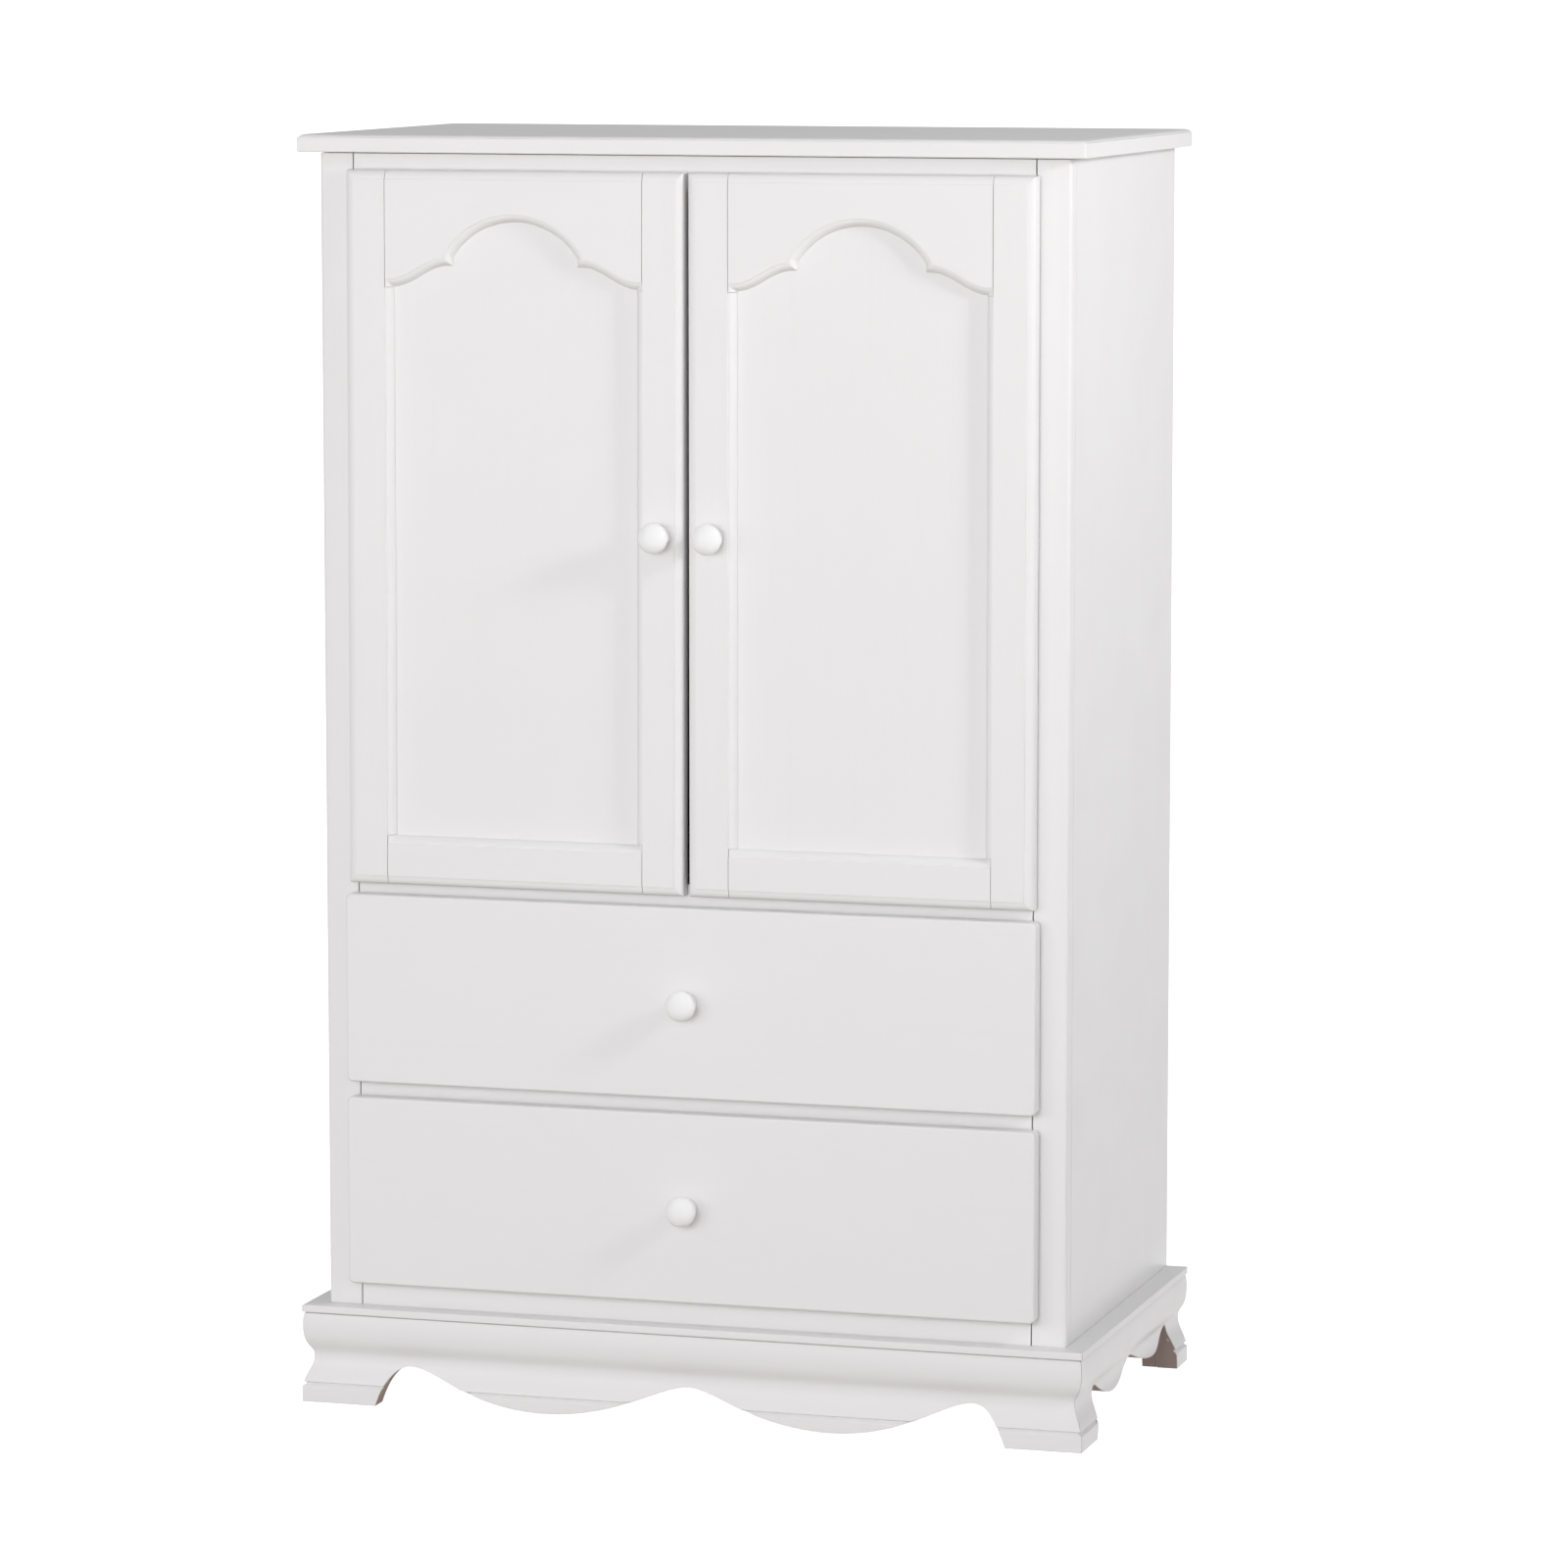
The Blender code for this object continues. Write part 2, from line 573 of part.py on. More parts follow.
def door_opening():
    """(across, height) round the front arris of the arched opening, from the door's middle."""
    half = DOOR_OPENING_HALF
    bottom = DOOR_BOTTOM + DOOR_FACE
    radius = ARCH_RADIUS_SHARE * half
    centre = DOOR_TOP - ARCH_CROWN - radius
    spring = math.acos(ARCH_HALF_SHARE / ARCH_RADIUS_SHARE)
    cusp = centre + radius * math.sin(spring) - ARCH_SPRING_STEP
    steps = 8
    shoulder = []
    for i in range(steps + 1):
        across = half * (ARCH_HALF_SHARE + SHOULDER_RUN_SHARE * i / steps)
        wave = (1 - math.cos(math.pi * i / steps)) / 2
        shoulder.append((across, cusp - SHOULDER_DROP * wave))
    right = [(half, bottom), (half, cusp - SHOULDER_DROP)] + shoulder[::-1]
    spring_degrees = math.degrees(spring)
    crown = arc((0.0, centre), radius, spring_degrees, 180 - spring_degrees, 18)
    return right + crown + [(-x, z) for x, z in reversed(right)]


def opening_cutter(middle):
    """The opening and its sticking: a step, then a cove down to the panel."""
    bm = along_y([(middle + u, z) for u, z in door_opening()], FACE + STICK_STEP, FACE - REACH)
    bmesh.ops.recalc_face_normals(bm, faces=bm.faces)
    floor = max(bm.faces, key=lambda face: face.calc_center_median().y)
    cove_start = (STICK_STEP, 0.0)
    cove = curve(cove_start, (0.0045, 0.0004), (STICK_WIDTH - 0.0012, STICK_DEPTH * 0.45),
                 (STICK_WIDTH, STICK_DEPTH - STICK_STEP + STICK_PAST_PANEL), 4)
    inset_so_far, depth_so_far = 0.0, 0.0
    for inset, depth in [cove_start, *cove]:
        bmesh.ops.inset_region(bm, faces=[floor], thickness=inset - inset_so_far, use_even_offset=True)
        bmesh.ops.translate(bm, verts=floor.verts, vec=(0, depth - depth_so_far, 0))
        inset_so_far, depth_so_far = inset, depth
    bmesh.ops.inset_region(bm, faces=[floor], thickness=0.0002, use_even_offset=True)
    bmesh.ops.translate(bm, verts=floor.verts, vec=(0, DOOR_PANEL_THICK / 2, 0))
    return bm


def door(name, side, axis):
    middle = side * (DOOR_OUTER + DOOR_INNER) / 2
    half = DOOR_OPENING_HALF
    stick = STICK_WIDTH + STICK_PAST_PANEL
    opening = door_opening()
    shoulder = opening[1][1]
    crown = max(z for _, z in opening)
    front, back = FACE - REACH, REACH
    cut = add_cutter(f"{name}_opening_cutter", opening_cutter(middle), axis)
    lap_half = half + DOOR_PANEL_LAP - STICK_WIDTH
    lap_low = DOOR_BOTTOM + DOOR_FACE + STICK_WIDTH - DOOR_PANEL_LAP
    lap_high = crown - STICK_WIDTH + DOOR_PANEL_LAP
    seat = FACE + STICK_DEPTH
    lap = box((middle - lap_half, seat, lap_low), (middle + lap_half, back, lap_high))
    rebate = add_cutter(f"{name}_rebate_cutter", lap, axis)
    far = DOOR_WIDTH / 2 + REACH
    low, high = DOOR_BOTTOM - REACH, DOOR_TOP + REACH
    joint = half + HALF_GAP
    stick_low = DOOR_BOTTOM + DOOR_FACE + stick + HALF_GAP
    stick_high = shoulder - stick - HALF_GAP
    stile = [(far, low), (far, high), (joint, high), (joint, stick_high), (half - stick, stick_high),
             (half - stick, stick_low), (joint, stick_low), (joint, low)]
    rail_half = half - HALF_GAP
    rail_low, rail_high = stick_low - GAP, stick_high + GAP
    regions = {
        "outer_stile": mirrored(stile, side),
        "inner_stile": mirrored(stile, -side),
        "arched_rail": [(-rail_half, rail_high), (rail_half, rail_high), (rail_half, high),
                        (-rail_half, high)],
        "bottom_rail": [(-rail_half, low), (rail_half, low), (rail_half, rail_low),
                        (-rail_half, rail_low)],
    }
    for piece, region in regions.items():
        made = add_mesh(f"{name}_{piece}", door_blank(side), WHITE_PAINT, axis)
        outline = [(middle + u, z) for u, z in region]
        keep = add_cutter(f"{name}_{piece}_region", along_y(outline, front, back), axis)
        use_boolean(made, keep, "INTERSECT", "MANIFOLD")
        use_boolean(made, cut, "DIFFERENCE", "MANIFOLD")
        use_boolean(made, rebate, "DIFFERENCE", "MANIFOLD")
        if piece == "outer_stile":
            for i, height in enumerate(HINGE_HEIGHTS):
                bore = cylinder(CUP_RADIUS + GAP, -CUP_DEPTH - GAP, REACH)
                place = (side * (DOOR_OUTER - CUP_EDGE), -DOOR_GAP, height)
                cutter = add_cutter(f"{name}_cup_bore_{i + 1}", turn_to(bore, (0, 1, 0), place), axis)
                use_boolean(made, cutter, "DIFFERENCE", "MANIFOLD")
    panel = box((middle - lap_half + GAP, seat + GAP, lap_low + GAP),
                (middle + lap_half - GAP, seat + GAP + DOOR_PANEL_THICK, lap_high - GAP))
    add_mesh(f"{name}_panel", panel, WHITE_PAINT, axis)
    knob_x = side * (DOOR_INNER + (DOOR_EDGE_WIDTH + DOOR_FACE) / 2)
    knob(f"{name}_knob", knob_x, (DOOR_BOTTOM + DOOR_TOP) / 2, axis)
    strike_x = side * (CATCH_WIDTH / 4 + 0.001)
    strike_z = CATCH_TOP - CATCH_HEIGHT / 2
    strike_y = -DOOR_GAP + GAP
    strike = box((strike_x - STRIKE_WIDTH / 2, strike_y, strike_z - STRIKE_HEIGHT / 2),
                 (strike_x + STRIKE_WIDTH / 2, strike_y + STRIKE_THICK, strike_z + STRIKE_HEIGHT / 2))
    add_mesh(f"{name}_strike_plate", strike, PLATED_STEEL, axis)


def hinge_cup(name, side, height, axis):
    """A pressed cup with its screw flange, let into the back of the stile."""
    place = (side * (DOOR_OUTER - CUP_EDGE), -DOOR_GAP, height)
    flange = rounded_rectangle((-CUP_FLANGE_WIDTH / 2, -CUP_FLANGE_LENGTH / 2),
                               (CUP_FLANGE_WIDTH / 2, CUP_FLANGE_LENGTH / 2), 0.004, 3)
    seat = -DOOR_GAP + GAP
    plate = along_y([(place[0] + x, height + z) for x, z in flange], seat, seat + CUP_FLANGE_THICK)
    made = add_mesh(name, plate, PLATED_STEEL, axis)
    body = turn_to(cylinder(CUP_RADIUS, -CUP_DEPTH, GAP + CUP_FLANGE_THICK / 2), (0, 1, 0), place)
    use_boolean(made, add_cutter(f"{name}_body", body, axis), "UNION")
    hollow = turn_to(cylinder(CUP_CAVITY_RADIUS, -CUP_CAVITY_DEPTH, REACH), (0, 1, 0), place)
    use_boolean(made, add_cutter(f"{name}_hollow", hollow, axis), "DIFFERENCE")


def hinge_arm(name, side, height, case):
    """The arm on its plate, screwed to the inner edge of the post and ending behind the cup."""
    nose = -(DOOR_GAP - GAP - CUP_FLANGE_THICK) + ARM_CLEARANCE
    root = OPENING - GAP
    tip = root - ARM_REACH
    low, high = height - ARM_PLATE_HEIGHT / 2, height + ARM_PLATE_HEIGHT / 2
    start = FRAME_THICK - ARM_PLATE_DEPTH - 0.001
    end = start + ARM_PLATE_DEPTH
    inner, outer = sorted((side * (root - ARM_PLATE_THICK), side * root))
    made = add_mesh(name, box((inner, start, low), (outer, end, high)), PLATED_STEEL, case)
    heel = root - ARM_PLATE_THICK / 2
    outline = [(heel, start + 0.002), (heel, end - 0.001), (tip + 0.010, end + 0.003),
               (tip + 0.002, start + 0.010), (tip, nose + 0.004), (tip + 0.003, nose),
               (root - 0.007, nose), (root - 0.006, start - 0.001)]
    arm = along_z(mirrored(outline, side), height - ARM_WIDTH / 2, height + ARM_WIDTH / 2)
    use_boolean(made, add_cutter(f"{name}_body", arm, case), "UNION")


def hinges(name, side, case, axis):
    for place, height in zip(("upper", "lower"), HINGE_HEIGHTS):
        hinge_cup(f"{name}_{place}_hinge_cup", side, height, axis)
        hinge_arm(f"{name}_{place}_hinge_arm", side, height, case)


# Drawers


def drawer_front(name, bottom, axis):
    half = OPENING + DRAWER_OVERLAY
    profile = [(0.0, -DOOR_GAP), (0.0, FACE + DRAWER_FRONT_ROUND)]
    profile += curve(profile[-1], (0.0, FACE + DRAWER_FRONT_ROUND * 0.45),
                     (DRAWER_FRONT_ROUND * 0.45, FACE), (DRAWER_FRONT_ROUND, FACE), 3)
    rings = []
    for inset, y in profile:
        radius = DRAWER_CORNER_RADIUS + DRAWER_FRONT_ROUND - inset
        outline = rounded_rectangle((-half + inset, bottom + inset),
                                    (half - inset, bottom + DRAWER_FRONT_HEIGHT - inset), radius, 4)
        rings.append([(x, y, z) for x, z in outline])
    add_mesh(f"{name}_front", loft(rings), WHITE_PAINT, axis)


def drawer(name, bottom, rail_top, axis):
    """A drawer: its overlay front, two sides, back, floor, knob and the runner underneath."""
    drawer_front(name, bottom, axis)
    outer = OPENING - DRAWER_SIDE_PLAY
    inner = outer - DRAWER_SIDE_THICK
    low = rail_top + DRAWER_BOX_LIFT
    high = low + DRAWER_BOX_HEIGHT
    front = -DOOR_GAP + GAP
    back = front + DRAWER_BOX_LENGTH
    floor_low = low + DRAWER_FLOOR_LIFT
    floor_high = floor_low + DRAWER_FLOOR_THICK
    for word, side in (("left", -1), ("right", 1)):
        x0, x1 = inner, outer
        notch_low, notch_high = floor_low - GAP, floor_high + GAP
        bite = inner + DRAWER_GROOVE
        outline = [(x0, low), (x1, low), (x1, high), (x0, high), (x0, notch_high), (bite, notch_high),
                   (bite, notch_low), (x0, notch_low)]
        add_mesh(f"{name}_{word}_side", along_y(mirrored(outline, side), front, back), DRAWER_WOOD, axis)
    rear = box((-inner + GAP, back - DRAWER_SIDE_THICK, floor_high + GAP),
               (inner - GAP, back, high - DRAWER_BACK_LOWER))
    add_mesh(f"{name}_back", rear, DRAWER_WOOD, axis, bevel=0.0008)
    floor_half = inner + DRAWER_GROOVE - GAP
    floor = box((-floor_half, front, floor_low), (floor_half, back, floor_high))
    add_mesh(f"{name}_floor", floor, DRAWER_WOOD, axis)
    knob(f"{name}_knob", 0.0, bottom + DRAWER_FRONT_HEIGHT / 2, axis)
    half = GLIDE_WIDTH / 2 - GLIDE_WALL - GLIDE_CLEARANCE
    runner_low = rail_top + GAP + GLIDE_WALL + GLIDE_CLEARANCE
    runner = box((-half, front, runner_low), (half, back - GLIDE_RUNNER_SHORTER, floor_low - GAP))
    add_mesh(f"{name}_runner", runner, BROWN_PLASTIC, axis, bevel=0.0008)


def drawer_glide(name, rail_top, case):
    """The fixed channel that the runner slides in, from the frame's rail to the back."""
    half, wall = GLIDE_WIDTH / 2, GLIDE_WALL
    low = rail_top + GAP
    high = low + GLIDE_HEIGHT
    outline = [(-half, low), (half, low), (half, high), (half - wall, high), (half - wall, low + wall),
               (wall - half, low + wall), (wall - half, high), (-half, high)]
    add_mesh(f"{name}_glide", along_y(outline, GAP, BACK_FRONT - GAP), PLATED_STEEL, case)


def main():
    clear_scene()
    case = add_empty("case", (0, FRAME_Y, 0))
    case_pieces(case)
    inside_fittings(case)
    base_front(case)
    base_side("left_base", -1, case)
    base_side("right_base", 1, case)
    for name, side in (("left_door", -1), ("right_door", 1)):
        axis = add_empty(f"{name}_axis", (side * AXIS_X, AXIS_Y, 0), case)
        door(name, side, axis)
        hinges(name, side, case, axis)
    for name, bottom, rail_top in (
        ("upper_drawer", UPPER_DRAWER_BOTTOM, DRAWER_RAIL_TOP),
        ("lower_drawer", LOWER_DRAWER_BOTTOM, BOTTOM_RAIL_TOP),
    ):
        axis = add_empty(f"{name}_axis", (0, 0, rail_top), case)
        drawer(name, bottom, rail_top, axis)
        drawer_glide(name, rail_top, case)


main()
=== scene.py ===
"""The finished surfaces of a white lacquered armoire: two arched doors over two drawers.

Every visible board, moulding, knob and fitting is built here at its finished detail round the
fixed frame, dressed in its own finish and set on the body that carries it. Metres, +X right,
+Y back, +Z up, with the floor at Z = 0.
"""

from __future__ import annotations

import logging
import math
import sys
from dataclasses import dataclass, field
from enum import Enum
from typing import Any, Callable, Iterable, Sequence

import bmesh
import bpy
from mathutils import Matrix, Vector

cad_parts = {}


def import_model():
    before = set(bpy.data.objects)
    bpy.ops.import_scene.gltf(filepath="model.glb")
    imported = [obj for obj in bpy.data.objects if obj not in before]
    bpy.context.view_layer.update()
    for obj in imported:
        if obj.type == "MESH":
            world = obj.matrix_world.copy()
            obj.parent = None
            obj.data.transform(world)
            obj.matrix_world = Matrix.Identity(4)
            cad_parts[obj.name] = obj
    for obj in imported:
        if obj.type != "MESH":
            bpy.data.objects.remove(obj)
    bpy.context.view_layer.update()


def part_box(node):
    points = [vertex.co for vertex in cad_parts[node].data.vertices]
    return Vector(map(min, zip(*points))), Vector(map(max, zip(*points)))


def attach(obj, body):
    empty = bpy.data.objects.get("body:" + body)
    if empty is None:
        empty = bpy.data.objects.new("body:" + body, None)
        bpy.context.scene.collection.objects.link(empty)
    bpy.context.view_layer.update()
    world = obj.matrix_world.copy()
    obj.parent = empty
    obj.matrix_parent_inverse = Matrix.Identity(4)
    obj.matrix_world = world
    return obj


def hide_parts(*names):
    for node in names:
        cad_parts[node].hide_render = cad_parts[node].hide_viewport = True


log = logging.getLogger("armoire")

Point2 = tuple[float, float]
Outline = list[Point2]
Point3 = tuple[float, float, float]
Ring = list[Point3]
Rows = Sequence[tuple[Sequence[Sequence[float]], Sequence[float]]]
Solid = bmesh.types.BMesh
Socket = bpy.types.NodeSocket

GAP = 0.0003
WELD = 1e-6
SIDES = (("left", -1), ("right", 1))


class Axis(Enum):
    """A direction of the frame, used for extrusions and for the run of the grain."""

    X = 0
    Y = 1
    Z = 2


class Slot(Enum):
    """The record's material slots."""

    WHITE_PAINT = "white_paint"
    RAW_WOOD = "raw_wood"
    DRAWER_WOOD = "drawer_wood"
    BACK_BOARD = "back_board"
    PLATED_STEEL = "plated_steel"
    BROWN_PLASTIC = "brown_plastic"


# Node wiring


class Wiring:
    """Makes and links nodes in one tree with short calls."""

    def __init__(self, tree: bpy.types.NodeTree) -> None:
        """Start on a tree.

        Args:
            tree: the node tree that the nodes are added to.
        """
        self.tree = tree

    def add(self, kind: str, inputs: dict[Any, Any] | None = None, **settings: Any) -> bpy.types.Node:
        """Add a node, set its properties, and set or link its inputs.

        Args:
            kind: the node's type name.
            inputs: input name or index to a value or to the socket that feeds it.
            **settings: properties of the node.

        Returns:
            The node.
        """
        node = self.tree.nodes.new(kind)
        for name, value in settings.items():
            setattr(node, name, value)
        self.feed(node, inputs or {})
        return node

    def feed(self, node: bpy.types.Node, inputs: dict[Any, Any]) -> None:
        """Set or link some of a node's inputs.

        Args:
            node: the node.
            inputs: input name or index to a value or to the socket that feeds it.
        """
        for key, value in inputs.items():
            if isinstance(value, Socket):
                self.tree.links.new(value, node.inputs[key])
            else:
                node.inputs[key].default_value = value

    def math(self, operation: str, *values: Any, clamp: bool = False) -> Socket:
        """Add a Math node.

        Args:
            operation: the node's operation.
            *values: its inputs in order, as numbers or sockets.
            clamp: whether the result is held between 0 and 1.

        Returns:
            The result's socket.
        """
        node = self.add("ShaderNodeMath", dict(enumerate(values)), operation=operation, use_clamp=clamp)
        return node.outputs[0]

    def weigh(self, first: Socket, second: Socket,
              share: float) -> Socket:
        """Average two values by weight.

        Args:
            first: a socket.
            second: a socket.
            share: the weight of the first; the second has the rest.

        Returns:
            The average's socket.
        """
        rest = self.math("MULTIPLY", second, 1 - share)
        return self.math("ADD", self.math("MULTIPLY", first, share), rest)

    def spread(self, value: Socket, source: Point2, target: Point2) -> Socket:
        """Map a value from one range onto another and hold it there.

        Args:
            value: the socket to map.
            source: the range it comes in.
            target: the range it leaves in.

        Returns:
            The mapped value's socket.
        """
        node = self.add("ShaderNodeMapRange", {
            "Value": value, "From Min": source[0], "From Max": source[1],
            "To Min": target[0], "To Max": target[1],
        })
        return node.outputs["Result"]

    def blend(self, factor: Any, first: Any, second: Any, mode: str = "MIX") -> Socket:
        """Mix two colours.

        Args:
            factor: how much of the second, as a number or a socket.
            first: a colour or a socket.
            second: a colour or a socket.
            mode: how they mix.

        Returns:
            The mixed colour's socket.
        """
        node = self.add("ShaderNodeMix", {0: factor, 6: rgba(first), 7: rgba(second)},
                        data_type="RGBA", blend_type=mode)
        return node.outputs[2]

    def noise(self, where: Socket, scale: float, detail: float = 2.0,
              distortion: float = 0.0) -> Socket:
        """Add a noise and return its value.

        Args:
            where: the coordinates it reads.
            scale: waves in a metre of those coordinates.
            detail: octaves.
            distortion: how far it is warped.

        Returns:
            The noise value's socket.
        """
        node = self.add("ShaderNodeTexNoise", {
            "Vector": where, "Scale": scale, "Detail": detail, "Distortion": distortion})
        return node.outputs["Fac"]

    def stretched(self, where: Socket, scale: Sequence[float]) -> Socket:
        """Scale coordinates by a different amount along each axis.

        Args:
            where: the coordinates.
            scale: the three factors.

        Returns:
            The scaled coordinates' socket.
        """
        return self.add("ShaderNodeMapping", {"Vector": where, "Scale": tuple(scale)}).outputs[0]


def rgba(colour: Any) -> Any:
    """Give a colour its fourth number, and leave a socket as it is."""
    return (*colour, 1.0) if isinstance(colour, tuple) and len(colour) == 3 else colour


def along(axis: Axis, along_grain: float, across_grain: float) -> Point3:
    """Scales of a pattern that is drawn out along one axis.

    Args:
        axis: the run of the grain.
        along_grain: the scale along it.
        across_grain: the scale across it.

    Returns:
        One scale for each axis of the frame.
    """
    scale = [across_grain] * 3
    scale[axis.value] = along_grain
    return (scale[0], scale[1], scale[2])


# Finishes


@dataclass(frozen=True)
class Finish:
    """A surface's material, made once under its name and shared, with a slot that nothing here reads."""

    name: str
    slot: Slot = Slot.WHITE_PAINT

    def material(self) -> bpy.types.Material:
        """Return the material, making it at the first call.

        Returns:
            The material.
        """
        made = bpy.data.materials.get(self.name)
        if made is None:
            made = bpy.data.materials.new(self.name)
            made.use_nodes = True
            made.node_tree.nodes.clear()
            wiring = Wiring(made.node_tree)
            shader = wiring.add("ShaderNodeBsdfPrincipled")
            output = wiring.add("ShaderNodeOutputMaterial")
            made.node_tree.links.new(shader.outputs[0], output.inputs["Surface"])
            where = wiring.add("ShaderNodeTexCoord").outputs["Object"]
            self.wire(wiring, shader, where)
        return made

    def wire(self, wiring: Wiring, shader: bpy.types.Node, where: Socket) -> None:
        """Wire the finish's own nodes.

        Args:
            wiring: the material's tree.
            shader: its principled shader.
            where: object coordinates, in metres.
        """
        raise NotImplementedError

    @staticmethod
    def relief(wiring: Wiring, shader: bpy.types.Node,
               layers: Iterable[tuple[Socket, float]], soften: float = 0.0) -> None:
        """Stack bump layers on the shader's normal.

        Args:
            wiring: the material's tree.
            shader: its principled shader.
            layers: pairs of a height socket and its depth in metres.
            soften: radius in metres that rounds crisp edges, or 0.
        """
        normal: Any = None
        if soften:
            normal = wiring.add("ShaderNodeBevel", {"Radius": soften}, samples=4).outputs[0]
        for height, depth in layers:
            inputs = {"Height": height, "Distance": depth, "Strength": 1.0}
            if normal is not None:
                inputs["Normal"] = normal
            normal = wiring.add("ShaderNodeBump", inputs).outputs[0]
        if normal is not None:
            wiring.tree.links.new(normal, shader.inputs["Normal"])


@dataclass(frozen=True)
class Lacquer(Finish):
    """Sprayed satin paint over wood, with the grain just showing through."""

    grain: Axis = Axis.Z
    colour: Point3 = (0.834, 0.829, 0.830)
    shade: Point3 = (0.785, 0.770, 0.768)
    roughness: Point2 = (0.31, 0.42)
    peel_depth: float = 0.000018
    grain_depth: float = 0.00003

    def wire(self, wiring: Wiring, shader: bpy.types.Node, where: Socket) -> None:
        """Wire broad tone, dust and painted shade in corners, thin paint on arrises, grain and orange peel.

        Args:
            wiring: the material's tree.
            shader: its principled shader.
            where: object coordinates, in metres.
        """
        broad = wiring.noise(where, 2.3, 3.0)
        cloudy = wiring.noise(where, 14.0, 3.0, 0.4)
        grain = wiring.noise(wiring.stretched(where, along(self.grain, 5.0, 210.0)), 1.0, 4.0, 0.6)
        tone = wiring.weigh(broad, cloudy, 0.6)
        light = wiring.blend(wiring.spread(tone, (0.35, 0.65), (0.0, 0.16)), self.colour, self.shade)
        light = wiring.blend(wiring.spread(grain, (0.52, 0.72), (0.0, 0.10)), light, self.shade)
        # Corners darken toward warm grey by ambient occlusion: dust together with painted shade in the
        # corners.
        corner = wiring.add("ShaderNodeAmbientOcclusion", {"Distance": 0.005}, samples=6).outputs["AO"]
        dust_and_corner_shade = wiring.spread(corner, (0.62, 0.25), (0.0, 0.14))
        light = wiring.blend(dust_and_corner_shade, light, (0.50, 0.46, 0.43))
        edge = self.arris(wiring)
        light = wiring.blend(wiring.math("MULTIPLY", edge, 0.10), light, (0.72, 0.69, 0.66))
        gloss = wiring.weigh(cloudy, grain, 0.5)
        wiring.feed(shader, {
            "Base Color": light, "Roughness": wiring.spread(gloss, (0.3, 0.7), self.roughness),
            "Specular IOR Level": 0.42, "Coat Weight": 0.12, "Coat Roughness": 0.22,
        })
        peel = wiring.noise(where, 620.0, 2.0)
        self.relief(wiring, shader, ((grain, self.grain_depth), (peel, self.peel_depth)), 0.0004)

    @staticmethod
    def arris(wiring: Wiring) -> Socket:
        """Find where the surface turns sharply.

        Args:
            wiring: the material's tree.

        Returns:
            A value near 1 on arrises and 0 on flat surface.
        """
        soft = wiring.add("ShaderNodeBevel", {"Radius": 0.0014}, samples=4).outputs[0]
        flat = wiring.add("ShaderNodeNewGeometry").outputs["Normal"]
        turned = wiring.add("ShaderNodeVectorMath", {0: soft, 1: flat}, operation="DOT_PRODUCT")
        return wiring.spread(turned.outputs["Value"], (0.985, 0.80), (0.0, 1.0))


@dataclass(frozen=True)
class Timber(Finish):
    """Bare or clear-coated wood with growth rings, pores and a little silk."""

    slot: Slot = Slot.RAW_WOOD
    grain: Axis = Axis.X
    early: Point3 = (0.66, 0.48, 0.30)
    late: Point3 = (0.46, 0.29, 0.15)
    roughness: Point2 = (0.48, 0.68)
    pore_depth: float = 0.00008

    def wire(self, wiring: Wiring, shader: bpy.types.Node, where: Socket) -> None:
        """Wire rings that follow the grain, fine pores, and roughness that follows both.

        Args:
            wiring: the material's tree.
            shader: its principled shader.
            where: object coordinates, in metres.
        """
        drawn = wiring.stretched(where, along(self.grain, 0.9, 11.0))
        wave = wiring.add("ShaderNodeTexWave", {
            "Vector": drawn, "Scale": 1.6, "Distortion": 5.5, "Detail": 3.0, "Detail Scale": 1.3,
        }, wave_type="RINGS", rings_direction=self.grain.name).outputs["Fac"]
        figure = wiring.noise(wiring.stretched(where, along(self.grain, 3.0, 52.0)), 1.0, 5.0, 1.2)
        pores = wiring.noise(wiring.stretched(where, along(self.grain, 45.0, 1500.0)), 1.0, 2.0)
        rings = wiring.weigh(wave, figure, 0.45)
        colour = wiring.blend(wiring.spread(rings, (0.25, 0.75), (0.0, 1.0)), self.early, self.late)
        pore = wiring.spread(pores, (0.60, 0.74), (0.0, 0.55))
        colour = wiring.blend(pore, colour, tuple(channel * 0.45 for channel in self.late))
        wiring.feed(shader, {
            "Base Color": colour, "Roughness": wiring.spread(figure, (0.3, 0.7), self.roughness),
            "Specular IOR Level": 0.35,
        })
        self.relief(wiring, shader, ((figure, 0.00005), (pores, self.pore_depth)), 0.0005)


@dataclass(frozen=True)
class Fibreboard(Finish):
    """Pressed brown board, mottled and slightly pitted."""

    slot: Slot = Slot.BACK_BOARD
    pale: Point3 = (0.46, 0.31, 0.18)
    dark: Point3 = (0.27, 0.165, 0.085)

    def wire(self, wiring: Wiring, shader: bpy.types.Node, where: Socket) -> None:
        """Wire fibres in two directions, broad clouds and small pits.

        Args:
            wiring: the material's tree.
            shader: its principled shader.
            where: object coordinates, in metres.
        """
        clouds = wiring.noise(where, 9.0, 5.0, 0.5)
        across = wiring.noise(wiring.stretched(where, (900.0, 900.0, 130.0)), 1.0, 3.0, 1.0)
        upright = wiring.noise(wiring.stretched(where, (130.0, 900.0, 900.0)), 1.0, 3.0, 1.0)
        fibres = wiring.math("MAXIMUM", across, upright)
        mottle = wiring.weigh(clouds, fibres, 0.22)
        colour = wiring.blend(wiring.spread(mottle, (0.42, 0.72), (0.0, 1.0)), self.dark, self.pale)
        wiring.feed(shader, {
            "Base Color": colour, "Roughness": wiring.spread(fibres, (0.4, 0.7), (0.62, 0.80))})
        self.relief(wiring, shader, ((fibres, 0.00012),), 0.0005)


